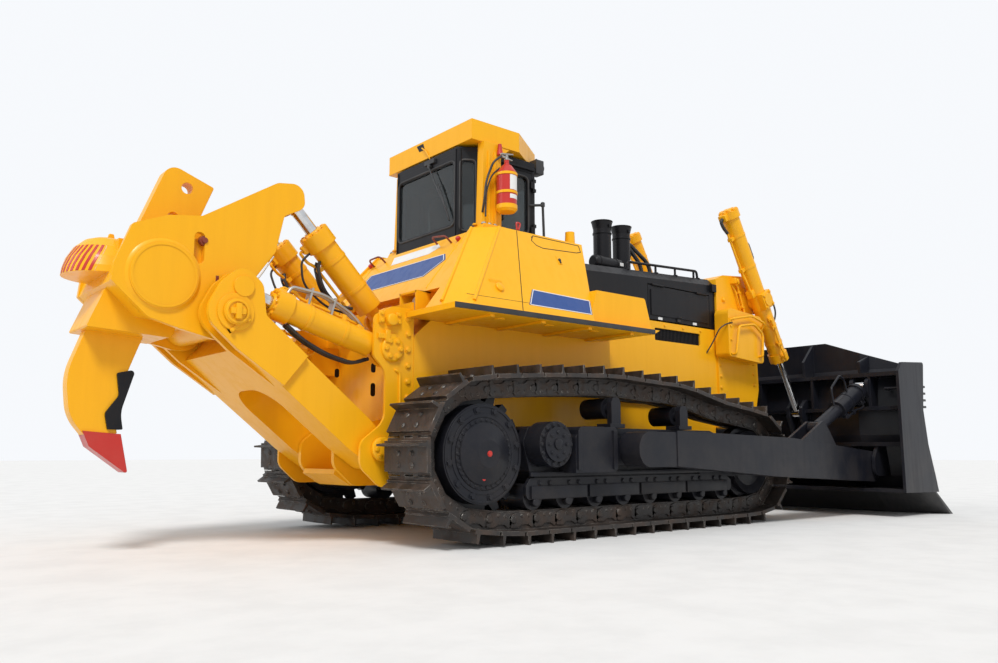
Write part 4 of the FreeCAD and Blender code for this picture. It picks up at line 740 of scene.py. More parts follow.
paintSlots = {
    "yellowPaint": (paints["yellowPaint"], "yellow_paint"),
    "blackPaint": (paints["blackPaint"], "black_paint"),
    "darkPaint": (paints["darkPaint"], "dark_paint"),
    "redPaint": (paints["redPaint"], "red_paint"),
    "whitePaint": (paints["whitePaint"], "yellow_paint"),
    "bluePlate": (paints["bluePlate"], "yellow_paint"),
    "brownHandle": (paints["brownHandle"], "red_paint"),
    "trackSteel": (trackSteel, "track_steel"),
    "edgeSteel": (edgeSteel, "edge_steel"),
    "rodChrome": (rodChrome, "rod_chrome"),
    "zincFitting": (zincFitting, "rod_chrome"),
    "hoseRubber": (hoseRubber, "trim_plastic"),
    "trimPlastic": (trimPlastic, "trim_plastic"),
    "cabGlass": (cabGlass, "cab_glass"),
    "seatFabric": (seatFabric, "seat_fabric"),
}


def make(name, body, finish, build, both=False, smoothAngle=40):
    # both: the same forms again on the other side of the machine
    bm = bmesh.new()
    build(bm)
    if both:
        copy = bmesh.ops.duplicate(bm, geom=bm.verts[:] + bm.edges[:] + bm.faces[:])
        for element in copy["geom"]:
            if isinstance(element, bmesh.types.BMVert):
                element.co.y = -element.co.y
    material, slot = paintSlots[finish]
    return finishPiece(name, bm, body, material, smoothAngle)


def bevelled(bm, width, segments=2):
    bmesh.ops.remove_doubles(bm, verts=bm.verts, dist=0.00002)
    bmesh.ops.recalc_face_normals(bm, faces=bm.faces)
    edges = [edge for edge in bm.edges if edge.is_manifold and edge.calc_face_angle(0) > math.radians(28)]
    bmesh.ops.bevel(bm, geom=edges, offset=width, segments=segments, affect="EDGES", profile=0.6, clamp_overlap=True)


# Final drives
finalDrive = {"y": 1.628, "z": 0.885, "bigBolts": 12, "bigRing": 0.425, "smallBolts": 30, "smallRing": 0.322,
              "noseY": 1.725}


def finalDrives():
    hub = at(0, -finalDrive["y"], finalDrive["z"])
    bolts("chassis", "darkPaint", 1.25, ringOfBolts(hub, outRight, finalDrive["bigRing"], finalDrive["bigBolts"], 0.2), True)
    inner = hub + outRight * 0.012
    bolts("chassis", "darkPaint", 0.62, ringOfBolts(inner, outRight, finalDrive["smallRing"], finalDrive["smallBolts"]),
          True)

    def rings(bm):
        # turned steps on the flange and a lip round its rim
        addLathe(bm, hub, outRight, [(-0.004, 0.470), (0.008, 0.470), (0.008, 0.452), (-0.004, 0.452)], 72)
        addLathe(bm, hub, outRight, [(-0.004, 0.388), (0.007, 0.388), (0.007, 0.352), (-0.004, 0.352)], 72)
        addLathe(bm, at(0, -1.640, finalDrive["z"]), outRight,
                 [(-0.002, 0.304), (0.006, 0.304), (0.010, 0.298), (0.010, 0.292), (-0.002, 0.292)], 64)
    make("drive_rings", "chassis", "darkPaint", rings, True)

    def plug(bm):
        nose = at(0, -finalDrive["noseY"], finalDrive["z"])
        addLathe(bm, nose, outRight, [(-0.004, 0.030), (0.004, 0.030), (0.004, 0.022), (0.012, 0.020), (0.012, 0), ], 20)
        lower = at(-0.030, -1.668, finalDrive["z"] - 0.235)
        addLathe(bm, lower, outRight, [(-0.016, 0), (-0.016, 0.022), (0.010, 0.022), (0.010, 0)], 16)
    make("drive_plugs", "chassis", "redPaint", plug, True)


finalDrives()

# Track frames: pivot caps, covers, roller guards, grease housings
frameGear = {"face": 1.615, "pivot": (0.810, 0.980), "armPin": (2.120, 0.930), "rollers": 8, "rollerFirst": 0.690,
             "rollerLast": 3.900, "rollerZ": 0.390}


def trackFrameGear():
    pivotX, pivotZ = frameGear["pivot"]
    cap = at(pivotX, -1.830, pivotZ)
    bolts("chassis", "darkPaint", 0.80, ringOfBolts(at(pivotX, -1.800, pivotZ), outRight, 0.203, 14), True)
    bolts("chassis", "darkPaint", 0.70, ringOfBolts(cap, outRight, 0.120, 8), True)
    face = -frameGear["face"]
    for x in [0.75 + 0.42 * i for i in range(8)]:
        places = rowOfBolts(at(x, face, 0.590), at(x + 0.14, face, 0.590), outRight, 2)
        bolts("chassis", "darkPaint", 0.9, places, True)

    def guards(bm):
        # roller guard segments with a lip, and the rail that closes their top
        for x in [0.62 + 0.84 * i for i in range(4)]:
            addBlock(bm, at(x, face - 0.022, 0.430), at(x + 0.80, face, 0.560))
        addBlock(bm, at(0.60, face - 0.030, 0.655), at(4.05, face, 0.700))
        addBlock(bm, at(1.72, face - 0.012, 0.760), at(3.35, face, 1.080))
        bevelled(bm, 0.006)
    make("roller_guards", "chassis", "darkPaint", guards, True)

    def ends(bm):
        # capped ends of the roller shafts, and a round cap on the idler
        step = (frameGear["rollerLast"] - frameGear["rollerFirst"]) / (frameGear["rollers"] - 1)
        for i in range(frameGear["rollers"]):
            x = frameGear["rollerFirst"] + step * i
            addLathe(bm, at(x, face, frameGear["rollerZ"] + 0.010), outRight,
                     [(-0.05, 0), (-0.05, 0.045), (0.012, 0.045), (0.020, 0.036), (0.020, 0)], 20)
        addLathe(bm, at(4.600, face, 0.770), outRight, [(-0.02, 0), (-0.02, 0.125), (0.050, 0.125), (0.070, 0.100),
                                                        (0.070, 0)], 32)
    make("shaft_caps", "chassis", "darkPaint", ends, True)
    bolts("chassis", "darkPaint", 0.8, ringOfBolts(at(4.600, face - 0.050, 0.770), outRight, 0.098, 6), True)

    def housings(bm):
        # rounded recoil covers and the cast bracket beside the arm's pin
        addLathe(bm, at(1.260, -1.700, 1.060), xAxis, [(0, 0), (0, 0.085), (0.05, 0.115), (0.34, 0.115), (0.40, 0.07),
                                                       (0.40, 0)], 28)
        addBlock(bm, at(1.08, -1.850, 0.720), at(1.13, -1.600, 1.130))
        addBlock(bm, at(1.62, -1.850, 0.720), at(1.67, -1.600, 1.130))
        addLathe(bm, at(pivotX, -1.840, pivotZ), outRight, [(-0.02, 0), (-0.02, 0.055), (0.004, 0.055), (0.010, 0.045),
                                                            (0.010, 0)], 24)
    make("recoil_covers", "chassis", "darkPaint", housings, True)


trackFrameGear()
print("undercarriage dressed")


# Faces of the sloped tank body: origin, direction across, direction up, outward normal
rearUp = Vector((0.6067, 0, 0.7949))
rearOut = Vector((-0.7949, 0, 0.6067))
sideUp = Vector((0, 0.4500, 0.8930))
sideOut = Vector((0, -0.8930, 0.4500))
tankFoot = 2.3183


def onRear(y, z, out=0.0):
    rise = (z - tankFoot) / rearUp.z
    return at(-0.400, y, tankFoot) + rearUp * rise + rearOut * out


def onSide(x, z, out=0.0):
    rise = (z - tankFoot) / sideUp.z
    return at(x, -1.690, tankFoot) + sideUp * rise + sideOut * out


def addSheet(bm, corners, out, thick):
    # flat sheet whose corners lie on a face, sunk a little and standing proud by thick
    low = [bm.verts.new(corner - out * 0.002) for corner in corners]
    high = [bm.verts.new(corner + out * thick) for corner in corners]
    bm.faces.new(list(reversed(low)))
    bm.faces.new(high)
    for i in range(len(low)):
        j = (i + 1) % len(low)
        bm.faces.new((low[i], low[j], high[j], high[i]))


def addStrip(bm, start, end, out, width, thick):
    aside = (end - start).normalized().cross(out) * (width / 2)
    addSheet(bm, [start - aside, start + aside, end + aside, end - aside], out, thick)


bodyPlates = {
    "rearBlue": [(0.76, 3.040), (0.80, 2.935), (0.60, 2.780), (-0.648, 2.780), (-0.870, 2.950), (-0.775, 3.040)],
    "rearWhite": [(0.47, 3.235), (0.40, 3.118), (-0.369, 3.118), (-0.540, 3.178), (-0.44, 3.235)],
    "sideBlue": [(0.592, 2.410), (1.526, 2.400), (1.584, 2.575), (0.718, 2.600)],
    "thick": 0.003,
}


def plates():
    thick = bodyPlates["thick"]
    make("rear_plate_blue", "chassis", "bluePlate",
         lambda bm: addSheet(bm, [onRear(y, z) for y, z in bodyPlates["rearBlue"]], rearOut, thick))
    make("rear_band_white", "chassis", "whitePaint",
         lambda bm: addSheet(bm, [onRear(y, z) for y, z in bodyPlates["rearWhite"]], rearOut, thick))
    make("side_plates_blue", "chassis", "bluePlate",
         lambda bm: addSheet(bm, [onSide(x, z) for x, z in bodyPlates["sideBlue"]], sideOut, thick), True)

    def borders(bm):
        # white rim round each blue plate
        for corners, place, out in ((bodyPlates["rearBlue"], onRear, rearOut), (bodyPlates["sideBlue"], onSide, sideOut)):
            points = [place(a, b, 0.003) for a, b in corners]
            middle = sum(points, Vector()) / len(points)
            points = [p.lerp(middle, 0.035) for p in points]
            for a, b in zip(points, points[1:] + points[:1]):
                addStrip(bm, a, b, out, 0.010, 0.0015)
    make("plate_rims", "chassis", "whitePaint", borders)


def tankSeams():
    def gaps(bm):
        for a, b in (((0.83, 3.335), (0.47, 2.330)), ((1.03, 3.300), (1.03, 3.270)),):
            addStrip(bm, onSide(*a), onSide(*b), sideOut, 0.009, 0.0012)
        lid = [(1.060, 3.312), (1.010, 3.245), (1.060, 3.190), (1.152, 3.169), (1.700, 3.203), (1.780, 3.225), (1.790, 3.312)]
        for a, b in zip(lid, lid[1:] + lid[:1]):
            addStrip(bm, onSide(*a), onSide(*b), sideOut, 0.010, 0.0015)
        addStrip(bm, onSide(-0.22, 2.43), onSide(1.54, 2.43), sideOut, 0.004, 0.0010)
    make("tank_seams", "chassis", "blackPaint", gaps, True)

    def corners(bm):
        # pressed ribs either side of the corner between the rear and side faces
        for a, b in (((0.370, -0.950, 3.335), (-0.375, -1.430, 2.370)), ((0.590, -1.165, 3.338), (-0.150, -1.665, 2.370))):
            addPipe(bm, [at(*a), at(*b)], 0.019, 10)
        addPipe(bm, [onRear(-0.895, 3.27), onRear(-0.895, 2.60)], 0.008, 8)
    make("corner_ribs", "chassis", "yellowPaint", corners, True)


def fillersAndLatches():
    def pieces(bm):
        # latch recess plate, filler caps and small pads on the side tank and the deck
        addSheet(bm, [onSide(x, z) for x, z in ((1.31, 3.095), (1.31, 2.995), (1.365, 2.995), (1.365, 3.095))], sideOut, 0.006)
        addLathe(bm, onSide(0.25, 2.56), sideOut, [(-0.01, 0), (-0.01, 0.050), (0.020, 0.050), (0.030, 0.036), (0.030, 0)], 20)
        addBlock(bm, at(0.14, -1.545, 2.585), at(0.30, -1.515, 2.640))
        addLathe(bm, at(1.750, -1.090, 3.338), zAxis, [(-0.01, 0), (-0.01, 0.062), (0.150, 0.055), (0.150, 0)], 24)
        addBlock(bm, at(1.40, -1.10, 3.338), at(1.62, -0.93, 3.352))
    make("tank_fittings", "chassis", "yellowPaint", pieces, True)

    def latch(bm):
        addLathe(bm, onSide(1.338, 3.045, 0.006), sideOut, [(0, 0), (0, 0.018), (0.012, 0.018), (0.012, 0)], 16)
        addSheet(bm, [onSide(x, z, 0.008) for x, z in ((1.330, 3.050), (1.330, 3.005), (1.346, 3.005), (1.346, 3.050))],
                 sideOut, 0.010)
    make("tank_latches", "chassis", "trimPlastic", latch, True)


def grabHandles():
    def loops(bm):
        for (y0, z0), (y1, z1) in (((0.870, 3.190), (0.640, 3.207)), ((-0.420, 3.236), (-0.729, 3.190))):
            root, end = onRear(y0, z0), onRear(y1, z1)
            addPipe(bm, [root - rearOut * 0.004, root + rearOut * 0.110, end + rearOut * 0.110, end - rearOut * 0.004],
                    0.011, 8, 0.09)
    make("grab_handles", "chassis", "brownHandle", loops)

    def lamps(bm):
        for y in (-0.86, 0.95):
            addLathe(bm, onRear(y, 3.20), rearOut, [(-0.003, 0), (-0.003, 0.030), (0.035, 0.028), (0.045, 0.018), (0.045, 0)], 16)
    make("tail_markers", "chassis", "redPaint", lamps)


def fenderTrim():
    def strips(bm):
        addBlock(bm, at(-0.428, -1.734, 2.262), at(2.500, -1.719, 2.318))
        bevelled(bm, 0.004)
    make("fender_strips", "chassis", "trimPlastic", strips, True)

    def holders(bm):
        # stiffeners under the fender, running out from the frame
        for x in (0.10, 0.80, 1.50, 2.20):
            addBlock(bm, at(x - 0.03, -1.640, 2.235), at(x + 0.03, -0.905, 2.262))
        for x in (0.35, 1.05, 1.75):
            addLathe(bm, at(x, -1.450, 2.262), -zAxis, [(-0.002, 0), (-0.002, 0.055), (0.012, 0.055), (0.012, 0)], 18)
    make("fender_stiffeners", "chassis", "yellowPaint", holders, True)


def rearLamps():
    def boxes(bm):
        addBlock(bm, at(-0.330, -0.930, 2.340), at(-0.150, -0.905, 2.560))
        addBlock(bm, at(-0.330, -0.640, 2.340), at(-0.150, -0.615, 2.560))
        addBlock(bm, at(-0.330, -0.930, 2.535), at(-0.150, -0.615, 2.560))
        addBlock(bm, at(-0.330, -0.930, 2.335), at(-0.060, -0.615, 2.355))
        addBlock(bm, at(-0.150, -0.930, 2.335), at(-0.060, -0.615, 2.560))
        bevelled(bm, 0.004)
    make("rear_lamp_boxes", "chassis", "yellowPaint", boxes, True)

    def lens(bm):
        addLathe(bm, at(-0.155, -0.772, 2.445), -xAxis, [(0, 0), (0, 0.080), (0.060, 0.085), (0.075, 0.075), (0.075, 0)], 28)
    make("rear_lamps", "chassis", "whitePaint", lens, True)


plates()
tankSeams()
fillersAndLatches()
grabHandles()
fenderTrim()
rearLamps()
print("tank body dressed")


# Cab: window rubbers, wiper, posts, lamps, mirror box, handrail, extinguisher
cab = {"rearX": 0.420, "side": 0.760, "low": 2.860, "high": 4.370,
       "doorWindow": (0.960, 1.370, 3.482, 4.160), "rearWindow": (0.560, 3.470, 4.200), "nose": 1.800,
       "roofLow": 4.405, "roofRear": 0.445, "roofHalf": 0.854, "post": (0.560, 0.850, 0.895)}
extinguisher = {"x": 0.800, "y": -1.045, "foot": 3.585, "radius": 0.115, "cup": 0.078, "straps": (3.770, 3.985),
                "label": (3.808, 3.980), "smallLabel": (3.705, 3.755), "tall": 0.600}


def roundedCorners(low, high, place, radius, steps=4):
    # corners of a round-cornered rectangle given in two directions, placed by a function
    (a0, b0), (a1, b1) = low, high
    points = []
    for a, b, start in ((a1 - radius, b1 - radius, 0), (a0 + radius, b1 - radius, 90), (a0 + radius, b0 + radius, 180),
                        (a1 - radius, b0 + radius, 270)):
        for i in range(steps + 1):
            t = math.radians(start + 90 * i / steps)
            points.append(place(a + radius * math.cos(t), b + radius * math.sin(t)))
    return points


def cabSeals():
    def rubber(bm):
        half, low, high = cab["rearWindow"]
        ring = roundedCorners((-half - 0.022, low - 0.022), (half + 0.022, high + 0.022), lambda y, z: at(cab["rearX"], y, z),
                              0.08)
        addPipe(bm, ring + ring[:2], 0.013, 8)
    make("rear_window_rubber", "chassis", "hoseRubber", rubber)

    def sideRubber(bm):
        for x0, x1 in ((0.672, 0.848),):
            ring = roundedCorners((x0, 3.402), (x1, 4.198), lambda x, z: at(x, -cab["side"], z), 0.06)
            addPipe(bm, ring + ring[:2], 0.011, 8)
        rise = Vector((0.200, -0.140, 0)).normalized()
        middle = at(0.520, -0.690, 0)
        ring = roundedCorners((-0.092, 3.382), (0.092, 4.218), lambda a, z: middle + rise * a + Vector((0, 0, z)), 0.05)
        addPipe(bm, ring + ring[:2], 0.011, 8)
    make("side_window_rubbers", "chassis", "hoseRubber", sideRubber, True)

    def doorRubber(bm):
        x0, x1, z0, z1 = cab["doorWindow"]
        ring = roundedCorners((x0 - 0.018, z0 - 0.018), (x1 + 0.018, z1 + 0.018), lambda x, z: at(x, -cab["side"], z), 0.07)
        addPipe(bm, ring + ring[:2], 0.011, 8)
        addPipe(bm, [at(0.940, -0.758, 3.560), at(0.940, -0.815, 3.560), at(0.940, -0.815, 3.760), at(0.940, -0.758, 3.760)],
                0.012, 8, 0.03)
        addBlock(bm, at(0.905, -0.775, 3.395), at(0.965, -0.755, 3.455))
    for side in ("right", "left"):
        bm = bmesh.new()
        doorRubber(bm)
        if side == "left":
            bmesh.ops.scale(bm, vec=(1, -1, 1), verts=bm.verts)
        material, slot = paintSlots["hoseRubber"]
        finishPiece("door_trim_" + side, bm, "door_" + side, material)

    def wiper(bm):
        x = cab["rearX"] - 0.018
        addLathe(bm, at(cab["rearX"] + 0.004, -0.095, 4.268), -xAxis, [(0, 0), (0, 0.030), (0.040, 0.026), (0.040, 0)], 16)
        addPipe(bm, [at(x - 0.015, -0.095, 4.268), at(x - 0.012, -0.300, 3.900), at(x, -0.455, 3.650)], 0.008, 8, 0.1)
        addPipe(bm, [at(x, -0.270, 4.010), at(x, -0.500, 3.520)], 0.011, 8)
        addBlock(bm, at(x - 0.012, -0.200, 4.290), at(cab["rearX"] + 0.002, 0.000, 4.345))
        bevelled(bm, 0.002, 1)
    make("rear_wiper", "chassis", "trimPlastic", wiper)

    def seams(bm):
        # raised channels down each rear corner and a drip rail over the door
        for y in (0.595, 0.650):
            addStrip(bm, at(cab["rearX"] if y < 0.62 else 0.455, -y, cab["low"] + 0.02),
                     at(cab["rearX"] if y < 0.62 else 0.455, -y, cab["high"] - 0.02), -xAxis, 0.014, 0.010)
        addBlock(bm, at(0.860, -0.790, 4.262), at(1.470, -0.758, 4.286))
        addBlock(bm, at(0.640, -0.772, 3.020), at(1.480, -0.758, 3.050))
    make("cab_seams", "chassis", "blackPaint", seams, True)


def roofParts():
    low = cab["roofLow"]

    def ledge(bm):
        # folded lip round the roof's foot, and the fascia over the rear window
        rear, half = cab["roofRear"], cab["roofHalf"]
        plan = [(rear, -half), (1.160, -half), (cab["nose"], -0.430), (cab["nose"], 0.430), (1.160, half), (rear, half)]
        for (x0, y0), (x1, y1) in zip(plan, plan[1:] + plan[:1]):
            out = Vector((y1 - y0, x0 - x1, 0)).normalized()
            addStrip(bm, at(x0, y0, low + 0.012), at(x1, y1, low + 0.012), out, 0.024, 0.004)
        bevelled(bm, 0.002, 1)
    make("roof_lips", "chassis", "yellowPaint", ledge)

    def recess(bm):
        # painted shade: a flat black sheet on the rear fascia stands in for the dark inside the lamp recess
        x = cab["roofRear"]
        addSheet(bm, [at(x, y, z) for y, z in ((0.236, 4.618), (0.100, 4.618), (0.066, 4.535), (0.180, 4.535))], -xAxis, 0.003)
    make("roof_lamp_recess", "chassis", "blackPaint", recess)

    def cord(bm):
        x = cab["roofRear"] - 0.006
        addPipe(bm, [at(x, 0.120, 4.565), at(x - 0.010, 0.020, 4.500), at(x, -0.020, 4.425), at(x + 0.02, -0.040, 4.365)],
                0.009, 8, 0.06)
    make("lamp_cord", "chassis", "yellowPaint", cord)

    def lampBox(bm):
        addBlock(bm, at(1.575, -0.700, 4.290), at(1.705, -0.560, 4.470))
        bevelled(bm, 0.012)
        addLathe(bm, at(1.705, -0.630, 4.380), xAxis, [(-0.004, 0), (-0.004, 0.055), (0.014, 0.060), (0.014, 0)], 24)
        addPipe(bm, [at(1.640, -0.630, 4.472), at(1.640, -0.630, 4.500)], 0.012, 8)
        addBlock(bm, at(1.625, -0.645, 4.466), at(1.655, -0.450, 4.486))
        addPipe(bm, [at(1.600, -0.560, 4.360), at(1.520, -0.600, 4.330), at(1.450, -0.745, 4.330)], 0.013, 8, 0.03)
    make("work_lamp_boxes", "chassis", "trimPlastic", lampBox, True)

    def rail(bm):
        addPipe(bm, [at(1.400, -0.758, 3.830), at(1.585, -0.800, 3.860), at(1.605, -0.800, 3.340)], 0.016, 10, 0.03)
        addLathe(bm, at(1.585, -0.800, 3.842), zAxis, [(0, 0), (0, 0.026), (0.045, 0.026), (0.055, 0.012), (0.055, 0)], 16)
        addPipe(bm, [at(1.400, -0.758, 3.420), at(1.605, -0.800, 3.400)], 0.014, 10)
    make("cab_handrails", "chassis", "trimPlastic", rail, True)

    def postTrim(bm):
        x0, x1, y = cab["post"]
        addBlock(bm, at(x0 + 0.085, -y - 0.016, 3.44), at(x0 + 0.115, -y + 0.002, 4.30))
        addBlock(bm, at(x1 - 0.115, -y - 0.016, 3.44), at(x1 - 0.085, -y + 0.002, 4.30))
        addPrism(bm, [(0.0, 0.0), (0.170, 0.0), (0.0, 0.150)], at(x1 - 0.004, -y + 0.045, 4.404), xAxis, -zAxis, 0.012)
        bevelled(bm, 0.004)
    make("post_ribs", "chassis", "yellowPaint", postTrim, True)
    bolts("chassis", "zincFitting", 0.95, [(at(x, -0.930, 3.421), zAxis, xAxis) for x in (0.560, 0.640, 0.720)], True)
    bolts("chassis", "yellowPaint", 0.9, [(at(x, -0.820, 3.421), zAxis, xAxis) for x in (0.520, 0.880)], True)


def bottleBits():
    x, y, foot, radius = (extinguisher[key] for key in ("x", "y", "foot", "radius"))
    top = foot + extinguisher["tall"]

    def arcSheet(bm, low, high, start, end, proud, steps=10):
        # part of a cylinder's skin, standing proud of the bottle
        rows = []
        for i in range(steps + 1):
            a = math.radians(start + (end - start) * i / steps)
            for r in (radius + proud, radius - 0.002):
                for z in (low, high):
                    rows.append(bm.verts.new(at(x + r * math.cos(a), y + r * math.sin(a), z)))
        for i in range(steps):
            a, b = rows[i * 4:i * 4 + 4], rows[i * 4 + 4:i * 4 + 8]
            for p, q in ((0, 1), (1, 3), (3, 2), (2, 0)):
                bm.faces.new((a[p], a[q], b[q], b[p]))
        for end4 in (rows[:4], rows[-4:]):
            bm.faces.new((end4[0], end4[1], end4[3], end4[2]))

    def labels(bm):
        for low, high in (extinguisher["label"], extinguisher["smallLabel"]):
            arcSheet(bm, low, high, -112, 20, 0.0015)
    make("bottle_labels", "chassis", "whitePaint", labels)

    def straps(bm):
        for z in extinguisher["straps"]:
            addLathe(bm, at(x, y, z), zAxis, [(0, radius - 0.002), (0, radius + 0.007), (0.030, radius + 0.007),
                                              (0.030, radius - 0.002)], 36)
            addBlock(bm, at(x - 0.034, y + radius - 0.020, z), at(x + 0.029, y + radius + 0.006, z + 0.030))
        addLathe(bm, at(x, y, foot - 0.018), zAxis, [(0, 0), (0, radius - 0.020), (0.030, radius + 0.006),
                                                     (extinguisher["cup"], radius + 0.006),
                                                     (extinguisher["cup"], radius - 0.002)], 36)
    make("bottle_straps", "chassis", "yellowPaint", straps)

    def valve(bm):
        addLathe(bm, at(x, y, top - 0.010), zAxis, [(0, 0), (0, 0.030), (0.020, 0.030), (0.024, 0.018), (0.060, 0.018),
                                                    (0.060, 0)], 20)
        addPrism(bm, [(-0.085, 0.0), (0.090, 0.030), (0.090, 0.044), (-0.085, 0.018)], at(x, y - 0.012, top + 0.040),
                 xAxis, zAxis, -0.024)
        addPrism(bm, [(-0.070, 0.0), (0.080, -0.012), (0.080, 0.0), (-0.070, 0.014)], at(x, y - 0.010, top + 0.010),
                 xAxis, zAxis, -0.020)
        addLathe(bm, at(x - 0.02, y, top + 0.025), -xAxis, [(0, 0), (0, 0.014), (0.060, 0.012), (0.060, 0)], 12)
    make("bottle_valve", "chassis", "zincFitting", valve)

    def hoses(bm):
        addPipe(bm, [at(x - 0.075, y, top + 0.025), at(x - 0.180, y + 0.020, top - 0.060),
                     at(x - 0.250, y + 0.060, top - 0.280), at(x - 0.265, y + 0.075, top - 0.520),
                     at(x - 0.225, y + 0.155, foot - 0.020)], 0.013, 10, 0.12)
        addPipe(bm, [at(x - 0.050, y + 0.060, 4.090), at(x - 0.160, y + 0.070, 3.990), at(x - 0.225, y + 0.090, 3.800),
                     at(x - 0.230, y + 0.095, 3.500)], 0.010, 8, 0.10)
    make("bottle_hoses", "chassis", "hoseRubber", hoses)

    def horn(bm):
        # discharge horn clipped to the post above the bottle
        addLathe(bm, at(0.800, -0.925, 4.400), -zAxis, [(0, 0), (0, 0.022), (0.050, 0.026), (0.130, 0.040), (0.130, 0)], 20)
        addPipe(bm, [at(0.870, -1.165, 3.352), at(0.900, -1.160, 3.430), at(0.850, -1.150, 3.440), at(0.855, -1.155, 3.352)],
                0.011, 8, 0.02)
    make("bottle_horn", "chassis", "redPaint", horn)


cabSeals()
roofParts()
bottleBits()
print("cab dressed")


# Hydraulic cylinders: gland bolts, ports, hard pipes and clamps, in each barrel's own directions
barrels = {
    "tilt": {"body": "ripper_tilt_tubes", "finish": "yellowPaint", "base": (-0.450, 2.270), "eye": (-1.560, 3.415),
             "y": 0.420, "radius": 0.135, "collar": 0.160, "rod": 0.065, "end": 1.160, "collarLong": 0.170,
             "pipe": (0.300, 1.060), "turn": 160, "bolts": 12, "clamps": (0.45, 0.82)},
    "lift": {"body": "ripper_lift_tubes", "finish": "yellowPaint", "base": (-0.590, 1.925), "eye": (-2.140, 2.375),
             "y": 0.722, "radius": 0.125, "collar": 0.150, "rod": 0.060, "end": 1.270, "collarLong": 0.170,
             "pipe": (0.300, 1.165), "turn": 20, "bolts": 12, "clamps": (0.50, 0.90)},
    "blade": {"body": "lift_cylinders", "finish": "yellowPaint", "base": (5.930, 3.170), "eye": (6.868, 1.497),
              "y": 0.940, "radius": 0.125, "collar": 0.145, "rod": 0.055, "end": 1.000, "collarLong": 0.130,
              "pipe": (0.300, 0.930), "turn": -60, "bolts": 8, "clamps": (0.42, 0.70)},
    "brace": {"body": "braces", "finish": "darkPaint", "base": (5.560, 1.215), "eye": (6.930, 1.843),
              "y": 1.960, "radius": 0.125, "collar": 0.145, "rod": 0.060, "end": 1.310, "collarLong": 0.070,
              "pipe": (0.760, 1.280), "turn": -20, "bolts": 0, "clamps": (0.95,)},
}


def cylinderFrame(spec):
    start = at(spec["base"][0], -spec["y"], spec["base"][1])
    ahead = (at(spec["eye"][0], -spec["y"], spec["eye"][1]) - start).normalized()
    rise = yAxis.cross(ahead)
    frameMatrix = Matrix((ahead, outRight, rise)).transposed().to_4x4()
    frameMatrix.translation = start
    return frameMatrix, ahead


def cylinderTrim(name, spec):
    place, ahead = cylinderFrame(spec)
    turned = place @ Matrix.Rotation(math.radians(spec["turn"]), 4, "X")
    radius, collar, end = spec["radius"], spec["collar"], spec["end"]
    port = end - spec["collarLong"] * 0.5

    def fittings(bm):
        # wiper ring round the rod, port blocks, the hard pipe and its clamps
        addLathe(bm, place @ Vector((end, 0, 0)), ahead, [(-0.004, spec["rod"] + 0.004), (-0.004, collar * 0.66),
                                                          (0.016, collar * 0.62), (0.022, spec["rod"] + 0.020),
                                                          (0.022, spec["rod"] + 0.004)], 40)
        addBlock(bm, (port - 0.045, -0.040, radius - 0.01), (port + 0.045, 0.040, collar + 0.035), turned)
        low, high = spec["pipe"]
        addBlock(bm, (low - 0.040, -0.036, radius - 0.015), (low + 0.040, 0.036, radius + 0.040), turned)
        bevelled(bm, 0.006, 1)
        level = radius + 0.055
        route = [(port, 0, collar + 0.030), (port, 0, collar + 0.070), (port - 0.120, 0, collar + 0.070),
                 (port - 0.200, 0, level), (low + 0.080, 0, level), (low, 0, level), (low, 0, radius + 0.030)]
        addPipe(bm, [turned @ Vector(p) for p in route], 0.016, 10, 0.035)
        for s in spec["clamps"]:
            addLathe(bm, place @ Vector((s - 0.018, 0, 0)), ahead, [(0, radius - 0.002), (0, radius + 0.006),
                                                                    (0.036, radius + 0.006), (0.036, radius - 0.002)], 40)
            addBlock(bm, (s - 0.022, -0.034, radius - 0.002), (s + 0.022, 0.034, level + 0.022), turned)
    make(name + "_fittings", spec["body"], spec["finish"], fittings, True)
    face = place @ Vector((end, 0, 0))
    if spec["bolts"]:
        bolts(spec["body"], spec["finish"], 0.8, ringOfBolts(face, ahead, collar - 0.026, spec["bolts"]), True)
    nuts = [(turned @ Vector((port + s, t, collar + 0.035)), turned.to_3x3() @ zAxis, ahead)
            for s in (-0.028, 0.028) for t in (-0.024, 0.024)]
    bolts(spec["body"], spec["finish"], 0.42, nuts, True)
    nuts = [(turned @ Vector((s, 0, radius + 0.077)), turned.to_3x3() @ zAxis, ahead) for s in spec["clamps"]]
    bolts(spec["body"], spec["finish"], 0.5, nuts, True)


def rodTrim(name, body, spec, eyeRadius, halfWidth):
    # grease nipple and snap rings on a rod's eye
    place, ahead = cylinderFrame(spec)
    span = (Vector(spec["eye"]) - Vector(spec["base"])).length

    def rings(bm):
        eye = place @ Vector((span, 0, 0))
        for side in (-1, 1):
            addLathe(bm, eye + outRight * side * halfWidth, outRight * side, [(-0.002, eyeRadius * 0.62),
                                                                             (-0.002, eyeRadius * 0.90),
                                                                             (0.006, eyeRadius * 0.88),
                                                                             (0.006, eyeRadius * 0.62)], 32)
        addLathe(bm, place @ Vector((span - eyeRadius * 0.92, 0, eyeRadius * 0.30)), place.to_3x3() @ zAxis,
                 [(0, 0), (0, 0.012), (0.050, 0.010), (0.060, 0)], 10)
    make(name + "_eye_rings", body, spec["finish"], rings, True)


for name, spec in barrels.items():
    cylinderTrim(name, spec)
rodTrim("tilt_rod", "ripper_tilt_shafts", barrels["tilt"], 0.110, 0.070)
rodTrim("ripper_lift_rod", "ripper_lift_shafts", barrels["lift"], 0.105, 0.065)
rodTrim("brace_rod", "brace_shafts", barrels["brace"], 0.100, 0.065)


